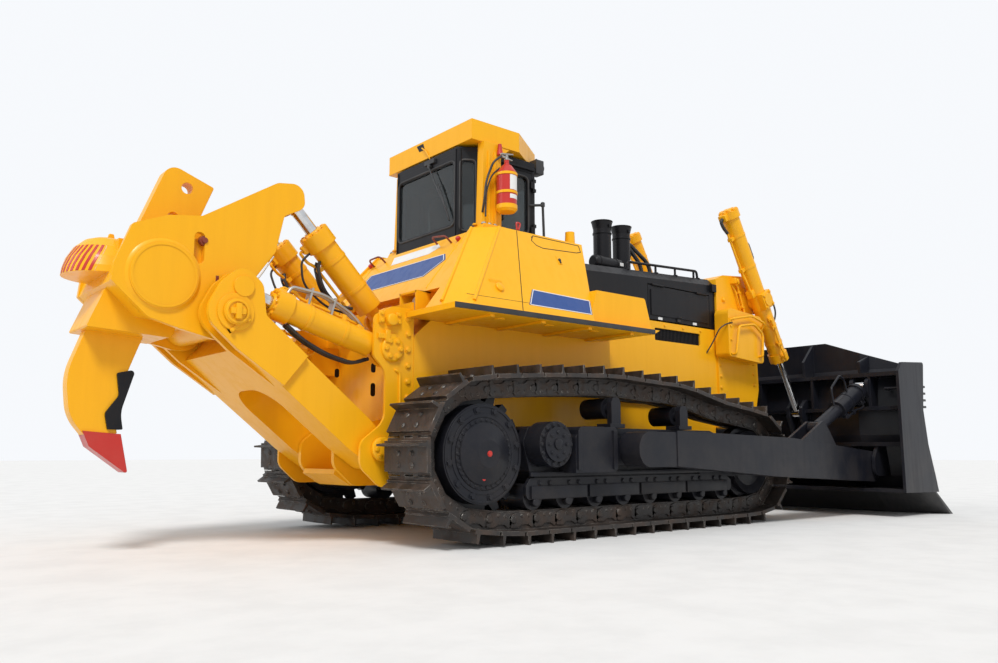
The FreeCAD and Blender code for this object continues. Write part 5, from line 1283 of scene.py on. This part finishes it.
def bladeLiftTop():
    # bolted head, rear hose and pipe to the valve beside the trunnion, swivel hose in front
    spec = barrels["blade"]
    place, ahead = cylinderFrame(spec)
    radius = spec["radius"]
    top = place @ Vector((-1.450, 0, 0))
    bolts(spec["body"], spec["finish"], 1.3, ringOfBolts(top, -ahead, 0.110, 8), True)

    def pieces(bm):
        addLathe(bm, place @ Vector((-1.455, 0, 0)), -ahead, [(0, 0), (0, 0.075), (0.030, 0.070), (0.030, 0)], 28)
        addBlock(bm, (-1.445, -0.060, 0.120), (-1.345, 0.060, 0.215), place)
        addBlock(bm, (-0.130, 0.060, -0.120), (0.130, 0.160, 0.120), place)
        addBlock(bm, (-0.230, -0.050, radius - 0.01), (-0.110, 0.060, radius + 0.075), place)
        addBlock(bm, (-0.090, -0.090, -radius - 0.060), (0.090, 0.090, -radius + 0.01), place)
        bevelled(bm, 0.010, 2)
        addPipe(bm, [place @ Vector(p) for p in ((-1.180, 0, radius + 0.075), (-0.560, 0, radius + 0.050),
                                                  (-0.300, 0.030, radius + 0.055), (-0.170, 0.030, radius + 0.060))],
                0.017, 10, 0.06)
        for s in (-1.060, -0.560):
            addBlock(bm, (s - 0.025, -0.035, radius - 0.002), (s + 0.025, 0.035, radius + 0.080), place)
            addLathe(bm, place @ Vector((s - 0.016, 0, 0)), ahead, [(0, radius - 0.002), (0, radius + 0.005),
                                                                    (0.032, radius + 0.005), (0.032, radius - 0.002)], 40)
    make("blade_lift_heads", spec["body"], spec["finish"], pieces, True)
    corners = [(place @ Vector((s, 0.160, t)), outRight, ahead) for s in (-0.095, 0.095) for t in (-0.085, 0.085)]
    bolts(spec["body"], spec["finish"], 0.9, corners, True)

    def hoses(bm):
        addPipe(bm, [place @ Vector(p) for p in ((-1.395, 0, 0.210), (-1.370, 0, 0.262), (-1.280, 0, 0.255),
                                                  (-1.170, 0, radius + 0.076))], 0.024, 12, 0.06)
        addPipe(bm, [place @ Vector(p) for p in ((0.060, 0.030, -radius - 0.055), (0.120, 0.030, -radius - 0.170),
                                                  (0.330, 0.020, -radius - 0.180), (0.470, 0, -radius - 0.020))],
                0.013, 10, 0.10)
        addPipe(bm, [place @ Vector(p) for p in ((-0.900, 0.030, -radius - 0.012), (-0.860, 0.040, -radius - 0.030),
                                                  (-0.640, 0.040, -radius - 0.030), (-0.600, 0.030, -radius - 0.010))],
                0.020, 10, 0.04)
    make("blade_lift_hoses", spec["body"], "hoseRubber", hoses, True)


def ripperHoses():
    # paired lines from the tractor to the cylinders, looped with slack
    tilt, tiltAhead = cylinderFrame(barrels["tilt"])
    lift, liftAhead = cylinderFrame(barrels["lift"])

    def tiltLines(bm):
        for shift in (-0.030, 0.030):
            points = [tilt @ Vector(p) for p in ((0.300, -0.050 + shift, -0.150), (0.420, -0.100 + shift, -0.250),
                                                  (0.660, -0.080 + shift, -0.270), (0.860, -0.040 + shift, -0.190),
                                                  (0.900, -0.020 + shift, -0.140))]
            addPipe(bm, points, 0.017, 10, 0.10)
        addPipe(bm, [tilt @ Vector(p) for p in ((1.020, -0.030, -0.155), (1.010, -0.060, -0.270), (0.820, -0.120, -0.380),
                                                 (0.480, -0.140, -0.330), (0.240, -0.120, -0.160))], 0.012, 10, 0.14)
    make("tilt_hoses", "ripper_tilt_tubes", "hoseRubber", tiltLines, True)

    def liftLines(bm):
        for shift in (-0.028, 0.028):
            points = [lift @ Vector(p) for p in ((0.120, -0.060 + shift, -0.130), (0.260, -0.080 + shift, -0.230),
                                                  (0.560, -0.070 + shift, -0.250), (0.860, -0.040 + shift, -0.215),
                                                  (1.080, 0.000 + shift, -0.150))]
            addPipe(bm, points, 0.019, 10, 0.12)
    make("ripper_lift_hoses", "ripper_lift_tubes", "hoseRubber", liftLines, True)

    def steelLines(bm):
        for shift in (-0.030, 0.030):
            points = [lift @ Vector(p) for p in ((1.150, -0.040 + shift, 0.150), (1.120, -0.050 + shift, 0.235),
                                                  (0.760, -0.060 + shift, 0.300), (0.420, -0.070 + shift, 0.235),
                                                  (0.230, -0.060 + shift, 0.125))]
            addPipe(bm, points, 0.016, 10, 0.10)
        for s in (0.64, 0.90):
            addBlock(bm, (s, -0.110, 0.120), (s + 0.020, -0.015, 0.310), lift)
    make("ripper_steel_lines", "ripper_lift_tubes", "zincFitting", steelLines, True)


bladeLiftTop()
ripperHoses()


# Ripper: push block stripes, pin heads, lock plates, lugs and the linkage's bolted caps
ripper = {"blockX": -3.090, "blockZ": 2.450, "plate": 0.560, "boss": 0.588, "armPin": (-2.205, 2.135), "armFace": 0.860,
          "slot": (-2.452, 2.735), "noseProfile": [(0.0, 0.360), (0.060, 0.355), (0.150, 0.330), (0.250, 0.275),
                                                   (0.330, 0.190), (0.360, 0.110)]}


def noseRadius(height):
    profile = ripper["noseProfile"]
    for (h0, r0), (h1, r1) in zip(profile, profile[1:]):
        if h0 <= height <= h1:
            return r0 + (r1 - r0) * (height - h0) / (h1 - h0)
    return profile[-1][1]


def blockStripes():
    # slanted bands painted round the push block's rim
    levels = [0.004 + 0.246 * i / 8 for i in range(9)]

    def band(bm, start, width, proud):
        rows = []
        for height in levels:
            lean = 14.0 * height / 0.25
            for r in (noseRadius(height) + proud, noseRadius(height) - 0.004):
                for a in (start + lean, start + lean + width):
                    t = math.radians(a)
                    rows.append(bm.verts.new(at(ripper["blockX"] + r * math.cos(t), r * math.sin(t),
                                                ripper["blockZ"] + height)))
        for i in range(len(levels) - 1):
            a, b = rows[i * 4:i * 4 + 4], rows[i * 4 + 4:i * 4 + 8]
            for p, q in ((0, 1), (1, 3), (3, 2), (2, 0)):
                bm.faces.new((a[p], a[q], b[q], b[p]))
        for four in (rows[:4], rows[-4:]):
            bm.faces.new((four[0], four[1], four[3], four[2]))

    def white(bm):
        band(bm, 176.0, 66.0, 0.0015)
    make("block_band", "ripper_carriage", "whitePaint", white)

    def red(bm):
        for i in range(7):
            band(bm, 178.0 + 9.2 * i, 4.4, 0.0030)
    make("block_stripes", "ripper_carriage", "redPaint", red)


def carriageBits():
    plate = ripper["plate"]

    def pieces(bm):
        # boss ring, slot pin's eye, hose clip plate, small lug on the push block
        addLathe(bm, at(-2.752, -ripper["boss"], 2.440), outRight,
                 [(-0.004, 0.262), (-0.004, 0.292), (0.005, 0.288), (0.005, 0.266)], 64)
        addLathe(bm, at(-2.752, -plate, 2.440), outRight, [(-0.004, 0.298), (-0.004, 0.335), (0.006, 0.322), (0.014, 0.300)], 64)
        addBlock(bm, at(-2.210, -plate - 0.028, 2.470), at(-2.030, -plate + 0.002, 2.500))
        addBlock(bm, at(-2.215, -plate - 0.030, 2.440), at(-2.185, -plate + 0.002, 2.505))
        addBlock(bm, at(-2.055, -plate - 0.030, 2.440), at(-2.025, -plate + 0.002, 2.505))
    make("carriage_bosses", "ripper_carriage", "yellowPaint", pieces, True)
    bolts("ripper_carriage", "yellowPaint", 0.6, rowOfBolts(at(-2.170, -plate - 0.012, 2.500), at(-2.070, -plate - 0.012, 2.500),
                                                            zAxis, 4), True)

    def lug(bm):
        addPrism(bm, [(-0.035, 0.0), (0.035, 0.0), (0.020, 0.060), (-0.020, 0.060)], at(-3.060, -0.012, 2.812), xAxis, zAxis, -0.024)
        addBlock(bm, at(-3.075, -0.400, 2.500), at(-2.960, -0.340, 2.700))
        bevelled(bm, 0.006, 1)
    make("block_lug", "ripper_carriage", "yellowPaint", lug)

    def slotPin(bm):
        addLathe(bm, at(ripper["slot"][0] + 0.045, -plate + 0.006, 2.810), outRight, [(-0.05, 0), (-0.05, 0.043), (0, 0.043), (0, 0.030),
                                                                    (0.018, 0.026), (0.018, 0)], 24)
        addBlock(bm, at(-2.290, -plate - 0.002, 2.400), at(-2.262, -plate + 0.004, 2.500))
    make("slot_pins", "ripper_carriage", "brownHandle", slotPin, True)

    def whiteCap(bm):
        addLathe(bm, at(-2.250, 0.045, 3.470), zAxis, [(0, 0), (0, 0.028), (0.050, 0.024), (0.050, 0)], 14)
        addBlock(bm, at(-2.290, 0.025, 3.500), at(-2.215, 0.065, 3.520))
    make("shank_marker", "ripper_carriage", "whitePaint", whiteCap)


def armBits():
    x, z = ripper["armPin"]
    face = ripper["armFace"]

    def pieces(bm):
        # pin head with its lock bar, grease block and bolted L-shaped keeper
        addLathe(bm, at(x, -face - 0.050 + 0.018, z), outRight, [(-0.004, 0.085), (-0.004, 0.112), (0.010, 0.108), (0.010, 0.088)], 36)
        addBlock(bm, at(x - 0.070, -face - 0.062, z - 0.028), at(x + 0.070, -face - 0.030, z + 0.028))
        addBlock(bm, at(x - 0.026, -face - 0.074, z - 0.070), at(x + 0.026, -face - 0.030, z + 0.070))
        bevelled(bm, 0.008, 2)
    make("arm_pin_heads", "beam_pins", "yellowPaint", pieces, True)

    def keeper(bm):
        along = Vector((0.813, 0, 0.582))
        up = Vector((-0.582, 0, 0.813))
        start = at(-2.250, -0.842, 1.930)
        addPrism(bm, [(0.0, 0.0), (0.215, 0.0), (0.215, 0.060), (0.060, 0.060), (0.060, 0.110), (0.0, 0.110)], start, along, up, -0.030)
        addPrism(bm, [(0.045, 0.012), (0.195, 0.012), (0.195, 0.048), (0.045, 0.048)], start + outRight * 0.028, along, up, -0.016)
        bevelled(bm, 0.005, 1)
    make("pin_keepers", "ripper_frame", "yellowPaint", keeper, True)
    bolts("ripper_frame", "yellowPaint", 0.7, [(at(-2.255 + 0.813 * s, -0.872, 1.955 + 0.582 * s), outRight, xAxis)
                                               for s in (0.02, 0.20)], True)

    def cable(bm):
        points = [at(-2.180, -0.570, 2.480), at(-2.090, -0.582, 2.530), at(-1.990, -0.580, 2.400), at(-1.880, -0.585, 2.540),
                  at(-1.740, -0.572, 2.760)]
        addPipe(bm, points, 0.008, 8, 0.07)
    make("carriage_cable", "ripper_carriage", "zincFitting", cable)

    def lower(bm):
        # capped pins of the arm's foot, one on each side
        addLathe(bm, at(-0.700, -0.915, 0.930), outRight, [(-0.006, 0), (-0.006, 0.118), (0.024, 0.118), (0.034, 0.104), (0.034, 0)], 36)
    make("lower_pin_caps", "chassis", "yellowPaint", lower, True)
    bolts("chassis", "yellowPaint", 0.9, ringOfBolts(at(-0.700, -0.949, 0.930), outRight, 0.078, 6), True)


def bracketBits():
    face = 0.895

    def pieces(bm):
        # keepers and bosses on the outer plates, ribs on the bracket's edge
        addLathe(bm, at(-0.590, -face, 1.925), outRight, [(-0.004, 0), (-0.004, 0.130), (0.022, 0.130), (0.032, 0.116), (0.032, 0)], 36)
        addLathe(bm, at(-0.620, -face, 2.215), outRight, [(-0.004, 0), (-0.004, 0.062), (0.060, 0.062), (0.068, 0.052), (0.068, 0)], 28)
        addBlock(bm, at(-0.765, -face - 0.030, 2.020), at(-0.560, -face, 2.075))
        addBlock(bm, at(-0.690, -face - 0.045, 1.985), at(-0.635, -face, 2.110))
        addBlock(bm, at(-0.760, -face - 0.028, 2.175), at(-0.700, -face, 2.300))
        addBlock(bm, at(-0.560, -face - 0.028, 2.175), at(-0.500, -face, 2.300))
        addPipe(bm, [at(-0.555, -face - 0.006, 1.720), at(-0.500, -face - 0.010, 1.690), at(-0.490, -face - 0.008, 1.300),
                     at(-0.540, -face - 0.004, 1.220)], 0.014, 8, 0.05)
        bevelled(bm, 0.004, 1)
    make("bracket_bosses", "chassis", "yellowPaint", pieces, True)
    bolts("chassis", "yellowPaint", 1.0, ringOfBolts(at(-0.590, -face - 0.030, 1.925), outRight, 0.085, 6), True)
    places = [(at(px, -face - 0.026, pz), outRight, xAxis) for px in (-0.730, -0.530) for pz in (2.200, 2.275)]
    bolts("chassis", "yellowPaint", 0.9, places, True)
    bolts("chassis", "yellowPaint", 1.1, rowOfBolts(at(-0.400, -face, 0.640), at(-0.400, -face, 2.250), outRight, 11), True)

    def mouths(bm):
        # black oval sheets on the inner plates: painted shade standing in for the dark inside their openings
        for z0, z1 in ((1.730, 1.830), (1.480, 1.620)):
            ring = roundedCorners((-0.520, z0), (-0.465, z1), lambda px, pz: at(px, -0.3855, pz), 0.024)
            addSheet(bm, ring, outRight, 0.003)
    make("bracket_slots", "chassis", "blackPaint", mouths, True)


blockStripes()
carriageBits()
armBits()
bracketBits()
print("cylinders and ripper dressed")


# Hood: stack rims, accumulator, hoses, rails, labels, window slats
hood = {"low": 3.261, "rise": 0.169, "rear": 1.830, "long": 3.240, "side": 0.750, "railY": 0.620, "railUp": 0.110,
        "stacks": ((3.330, 4.100), (3.730, 4.090)), "stackY": -0.150, "stackR": 0.125,
        "window": (3.690, 4.690, 2.400, 2.570), "slats": 33, "labels": (3.815, 4.578), "labelZ": 2.672,
        "drum": (2.810, 3.340, -0.450, 3.415, 0.088)}


def hoodTop(x):
    return hood["low"] + hood["rise"] * (x - hood["rear"]) / hood["long"]


def hoodPieces():
    y, r = hood["stackY"], hood["stackR"]

    def rims(bm):
        # flared mouths, collars and lifting eyes of the exhaust stacks
        for x, top in hood["stacks"]:
            addLathe(bm, at(x, y, top), zAxis, [(-0.032, r - 0.004), (-0.026, r + 0.010), (-0.006, r + 0.028), (0.003, r + 0.028),
                                                (0.003, r - 0.018), (-0.032, r - 0.018)], 40)
            addLathe(bm, at(x, y, top - 0.190), zAxis, [(0, r - 0.004), (0.006, r + 0.009), (0.026, r + 0.009),
                                                        (0.032, r - 0.004)], 40)
            addBlock(bm, at(x - 0.016, y - r - 0.030, top - 0.100), at(x + 0.016, y - r + 0.006, top - 0.060))
            addLathe(bm, at(x, y, hoodTop(x)), zAxis, [(-0.030, r + 0.050), (0.012, r + 0.050), (0.016, r + 0.044),
                                                       (0.016, r + 0.001)], 40)
    make("stack_rims", "chassis", "blackPaint", rims)
    for x, top in hood["stacks"]:
        bolts("chassis", "blackPaint", 0.6, ringOfBolts(at(x, y, hoodTop(x) + 0.014), zAxis, r + 0.026, 8))

    def drum(bm):
        x0, x1, across, level, radius = hood["drum"]
        addLathe(bm, at(x0, across, level), xAxis, [(0, 0), (0, radius - 0.022), (0.020, radius), (x1 - x0 - 0.020, radius),
                                                    (x1 - x0, radius - 0.022), (x1 - x0, 0)], 36)
        for x in (x0 + 0.090, x1 - 0.120):
            addLathe(bm, at(x, across, level), xAxis, [(0, radius - 0.002), (0, radius + 0.007), (0.030, radius + 0.007),
                                                       (0.030, radius - 0.002)], 36)
            addBlock(bm, at(x - 0.004, across - 0.075, hoodTop(x) - 0.004), at(x + 0.034, across + 0.075, level - radius * 0.72))
    make("hood_drum", "chassis", "blackPaint", drum)
    x0, x1, across, level, radius = hood["drum"]
    make("drum_label", "chassis", "whitePaint",
         lambda bm: addSheet(bm, [at(x, across - radius, z) for x, z in ((3.255, 3.395), (3.325, 3.395), (3.325, 3.440), (3.255, 3.440))],
                             outRight, 0.003))

    def hoses(bm):
        for x0, z0, x1, z1 in ((3.884, 3.817, 4.138, 3.606), (3.915, 3.870, 4.328, 3.633)):
            foot = x1 + 0.040
            addPipe(bm, [at(3.800, y, z0 + 0.010), at(x0, y, z0), at(x1, y, z1), at(foot, y, hoodTop(foot) + 0.002)],
                    0.030, 12, 0.20)
            addLathe(bm, at(foot, y, hoodTop(foot)), zAxis, [(-0.004, 0), (-0.004, 0.050), (0.018, 0.050), (0.026, 0.036),
                                                             (0.026, 0)], 20)
    make("hood_hoses", "chassis", "hoseRubber", hoses)

    def rails(bm):
        # rail run on towards the stacks, its front end rolled down to the hood, feet under the posts
        side, up = hood["railY"], hood["railUp"]
        addPipe(bm, [at(3.300, -side, hoodTop(3.300) - 0.004), at(3.300, -side, hoodTop(3.300) + up),
                     at(3.900, -side, hoodTop(3.900) + up)], 0.018, 10, 0.05)
        addPipe(bm, [at(4.730, -side, hoodTop(4.730) + up), at(4.830, -side, hoodTop(4.830) + up),
                     at(4.850, -side, hoodTop(4.850) - 0.004)], 0.018, 10, 0.06)
        for x in (3.300, 3.900, 4.330, 4.850):
            addLathe(bm, at(x, -side, hoodTop(x)), zAxis, [(-0.008, 0), (-0.008, 0.038), (0.008, 0.038), (0.008, 0)], 16)
        addBlock(bm, at(4.955, -0.800, 3.215), at(5.055, -0.745, 3.325))
    make("hood_rail_ends", "chassis", "blackPaint", rails, True)

    def slats(bm):
        x0, x1, z0, z1 = hood["window"]
        count = hood["slats"]
        # the black sheet behind the slats is painted shade standing in for the dark behind the louvres; the slats
        # themselves are black paint
        addBlock(bm, at(x0 - 0.002, -0.702, z0 - 0.002), at(x1 + 0.002, -0.698, z1 + 0.002))
        for i in range(count):
            x = x0 + (x1 - x0) * (i + 0.5) / count
            addBlock(bm, at(x - 0.006, -0.732, z0 - 0.001), at(x + 0.006, -0.700, z1 + 0.001))
    make("window_slats", "chassis", "blackPaint", slats, True)
    edge = [(at(x, -hood["side"], 2.615), outRight, xAxis) for x in (2.70, 3.10, 3.50, 3.90, 4.30, 4.70)]
    bolts("chassis", "yellowPaint", 0.7, edge, True)

    for side, mirror in (("right", 1), ("left", -1)):
        def labels(bm):
            for x in hood["labels"]:
                z = hood["labelZ"] + 0.014
                addBlock(bm, at(x - 0.045, -hood["side"] - 0.002, z), at(x + 0.045, -hood["side"] + 0.001, z + 0.036))
        def latches(bm):
            addBlock(bm, at(4.170, -hood["side"] - 0.018, 2.690), at(4.240, -hood["side"], 2.730))
            addPipe(bm, [at(4.180, -hood["side"] - 0.012, 2.735), at(4.180, -hood["side"] - 0.045, 2.755),
                         at(4.230, -hood["side"] - 0.045, 2.755), at(4.230, -hood["side"] - 0.012, 2.735)], 0.006, 8, 0.01)
        for name, finish, build in (("labels", "whitePaint", labels), ("latches", "trimPlastic", latches)):
            bm = bmesh.new()
            build(bm)
            bmesh.ops.scale(bm, vec=(1, mirror, 1), verts=bm.verts)
            material, slot = paintSlots[finish]
            finishPiece("hatch_" + name + "_" + side, bm, "hatch_" + side, material)


# Radiator guard: grab rails, hard pipes, cable, manifold by the trunnion, bolts
guard = {"side": 0.780, "box": 1.010, "stand": 1.070}


def guardPieces():
    side, face, stand = -guard["side"], -guard["box"], -guard["stand"]

    def rails(bm):
        loop = [at(5.100, face + 0.004, 2.290), at(5.100, stand, 2.290), at(5.190, stand, 2.700), at(5.570, stand, 2.760),
                at(5.790, stand, 2.630), at(5.760, stand, 2.300), at(5.760, face + 0.004, 2.300)]
        addPipe(bm, loop, 0.019, 10, 0.06)
        addPipe(bm, [at(5.060, face + 0.004, 2.780), at(5.080, stand, 2.800), at(5.515, stand, 2.880),
                     at(5.850, stand, 2.800), at(5.850, face + 0.004, 2.700)], 0.017, 10, 0.08)
        addBlock(bm, at(5.030, face - 0.012, 2.750), at(5.100, face + 0.004, 2.810))
    make("guard_rails", "chassis", "yellowPaint", rails, True)

    def pipes(bm):
        # hard pipe down from the cylinder's valve, with its clips, and the valve's small blocks
        addPipe(bm, [at(5.500, side - 0.020, 3.430), at(5.560, side - 0.040, 3.370), at(5.700, side - 0.040, 3.020),
                     at(5.720, side - 0.040, 2.940)], 0.016, 10, 0.05)
        addPipe(bm, [at(5.450, side + 0.010, 3.400), at(5.500, side - 0.040, 3.300), at(5.640, side - 0.040, 2.955)],
                0.012, 10, 0.05)
        for x, z in ((5.600, 3.270), (5.680, 3.060)):
            addBlock(bm, at(x - 0.040, side - 0.060, z - 0.016), at(x + 0.030, side + 0.002, z + 0.016))
        addBlock(bm, at(5.430, side - 0.100, 3.390), at(5.530, side + 0.002, 3.470))
        addBlock(bm, at(5.450, side - 0.125, 3.405), at(5.480, side - 0.098, 3.455))
        addLathe(bm, at(5.240, side, 3.130), outRight, [(-0.004, 0), (-0.004, 0.034), (0.020, 0.034), (0.030, 0.020), (0.030, 0)], 18)
        bevelled(bm, 0.004, 1)
    make("guard_pipes", "chassis", "yellowPaint", pipes, True)

    def cable(bm):
        addPipe(bm, [at(5.100, face - 0.006, 2.745), at(4.995, face + 0.005, 2.725), at(4.880, -0.950, 2.650),
                     at(4.860, -0.860, 2.477), at(4.835, -0.745, 2.305)], 0.010, 8, 0.08)
    make("guard_cables", "chassis", "hoseRubber", cable, True)

    bolts("chassis", "yellowPaint", 0.9, rowOfBolts(at(5.120, side, 1.500), at(5.120, side, 2.150), outRight, 5), True)
    bolts("chassis", "yellowPaint", 0.9, rowOfBolts(at(5.950, side, 1.900), at(5.950, side, 2.850), outRight, 7), True)
    bolts("chassis", "yellowPaint", 0.8, rowOfBolts(at(5.070, face, 2.300), at(5.070, face, 2.700), outRight, 3), True)


# Blade: edge bolts, tabs on the end plates, bar steps and shelf ribs, the brace's looped pipe
edge = {"slope": (0.551, 0.835), "rows": ((7.440, 0.288), (7.540, 0.222)), "wing": 1.850, "sweep": 0.240,
        "end": 2.6325, "tabs": (1.841, 1.743, 1.645, 1.548)}


def bladePieces():
    facing = Vector((edge["slope"][0], 0, edge["slope"][1]))
    turn, end = edge["wing"] - 0.06, edge["end"] - 0.09
    for x, z in edge["rows"]:
        bolts("dozer_blade", "edgeSteel", 1.1, rowOfBolts(at(x, -turn, z), at(x, turn, z), facing, 29))
        wing = rowOfBolts(at(x + 0.030, -turn - 0.16, z - 0.012), at(x + edge["sweep"] - 0.02, -end, z - 0.004), facing, 5)
        bolts("dozer_blade", "edgeSteel", 1.1, wing, True)

    def tabs(bm):
        for z in edge["tabs"]:
            addBlock(bm, at(7.350, -edge["end"] + 0.006, z - 0.016), at(7.490, -edge["end"] + 0.046, z + 0.016))
        bevelled(bm, 0.003, 1)
    make("end_tabs", "dozer_blade", "edgeSteel", tabs, True)

    def steps(bm):
        # steps of bar inside each end plate, and short ribs between the shelves
        for z in (2.010, 1.810):
            addPipe(bm, [at(6.930, -edge["end"] + 0.046, z), at(6.930, -2.300, z)], 0.022, 10)
            addPipe(bm, [at(6.930, -2.300, z), at(7.100, -2.300, z)], 0.022, 10)
        for y in (0.30, 1.20, 2.10):
            addBlock(bm, at(6.868, -y - 0.020, 1.553), at(7.040, -y + 0.020, 1.992))
    make("blade_steps", "dozer_blade", "darkPaint", steps, True)

    def loop(bm):
        addPipe(bm, [at(6.030, -1.990, 1.540), at(5.975, -1.990, 1.780), at(6.265, -1.970, 1.985), at(6.420, -1.960, 1.925),
                     at(6.470, -1.960, 1.770)], 0.016, 10, 0.05)
    make("brace_pipe", "braces", "darkPaint", loop, True)


hoodPieces()
guardPieces()
bladePieces()
print("hood, guard and blade dressed")


# Stage: pale floor, even light, and the camera at the photograph's angle
stageLook = {"floor": (0.80, 0.79, 0.77), "floorSize": 90.0, "skyLight": 0.62, "sky": (0.93, 0.95, 0.98),
             "keyLight": 2.1, "keyAngle": 14.0, "keyFrom": (-0.50, -0.62, 0.95), "fillLight": 0.5,
             "fillFrom": (-0.9, 0.4, 0.5)}
cameraPlace = {"from": (-5.143, -7.970, 0.905), "yaw": 40.09, "pitch": 8.17, "lens": 36.0 * 837.2 / 998.0}


def makeFloor():
    half = stageLook["floorSize"]
    bm = bmesh.new()
    bm.faces.new([bm.verts.new((x, y, 0.0)) for x, y in ((-half, -half), (half, -half), (half, half), (-half, half))])
    mesh = bpy.data.meshes.new("floor")
    bm.to_mesh(mesh)
    bm.free()
    floor = bpy.data.objects.new("floor", mesh)
    bpy.context.scene.collection.objects.link(floor)
    material, tree, shader = newMaterial("floorTone")
    grain = noiseNode(tree, objectPlace(tree), 2.0, 6.0, 0.6)
    light = stageLook["floor"]
    dark = tuple(0.94 * tone for tone in light)
    link(tree, mixColour(tree, rangeNode(tree, grain, 0.35, 0.7), light, dark), shader.inputs["Base Color"])
    shader.inputs["Roughness"].default_value = 0.9
    shader.inputs["Specular IOR Level"].default_value = 0.1
    mesh.materials.append(material)


def makeSky():
    world = bpy.data.worlds.new("studio")
    bpy.context.scene.world = world
    world.use_nodes = True
    tree = world.node_tree
    background = tree.nodes["Background"]
    shown = tree.nodes.new("ShaderNodeBackground")
    shown.inputs["Color"].default_value = stageLook["sky"] + (1.0,)
    shown.inputs["Strength"].default_value = 1.0
    background.inputs["Color"].default_value = (0.93, 0.96, 1.0, 1.0)
    background.inputs["Strength"].default_value = stageLook["skyLight"]
    path = tree.nodes.new("ShaderNodeLightPath")
    seen = mathNode(tree, "MAXIMUM", path.outputs["Is Camera Ray"], path.outputs["Is Transmission Ray"])
    seen = mathNode(tree, "MAXIMUM", seen, mathNode(tree, "MULTIPLY", path.outputs["Is Glossy Ray"], 0.6))
    mix = tree.nodes.new("ShaderNodeMixShader")
    link(tree, seen, mix.inputs["Fac"])
    link(tree, background.outputs["Background"], mix.inputs[1])
    link(tree, shown.outputs["Background"], mix.inputs[2])
    link(tree, mix.outputs["Shader"], tree.nodes["World Output"].inputs["Surface"])


def makeSun(name, strength, direction, angle):
    lamp = bpy.data.lights.new(name, "SUN")
    lamp.energy = strength
    lamp.angle = math.radians(angle)
    sun = bpy.data.objects.new(name, lamp)
    sun.rotation_mode = "QUATERNION"
    sun.rotation_quaternion = Vector(direction).to_track_quat("Z", "Y")
    bpy.context.scene.collection.objects.link(sun)


def makeCamera():
    lensData = bpy.data.cameras.new("photoCamera")
    lensData.sensor_width = 36.0
    lensData.lens = cameraPlace["lens"]
    lensData.clip_end = 300.0
    camera = bpy.data.objects.new("photoCamera", lensData)
    camera.location = at(*cameraPlace["from"])
    camera.rotation_euler = (math.radians(90 + cameraPlace["pitch"]), 0, math.radians(-cameraPlace["yaw"]))
    bpy.context.scene.collection.objects.link(camera)
    bpy.context.scene.camera = camera


makeFloor()
makeSky()
makeSun("keySun", stageLook["keyLight"], stageLook["keyFrom"], stageLook["keyAngle"])
makeSun("fillSun", stageLook["fillLight"], stageLook["fillFrom"], 40.0)
makeCamera()
bpy.context.scene.view_settings.view_transform = "Standard"
makeBolts()
print("bolts and stage ready")
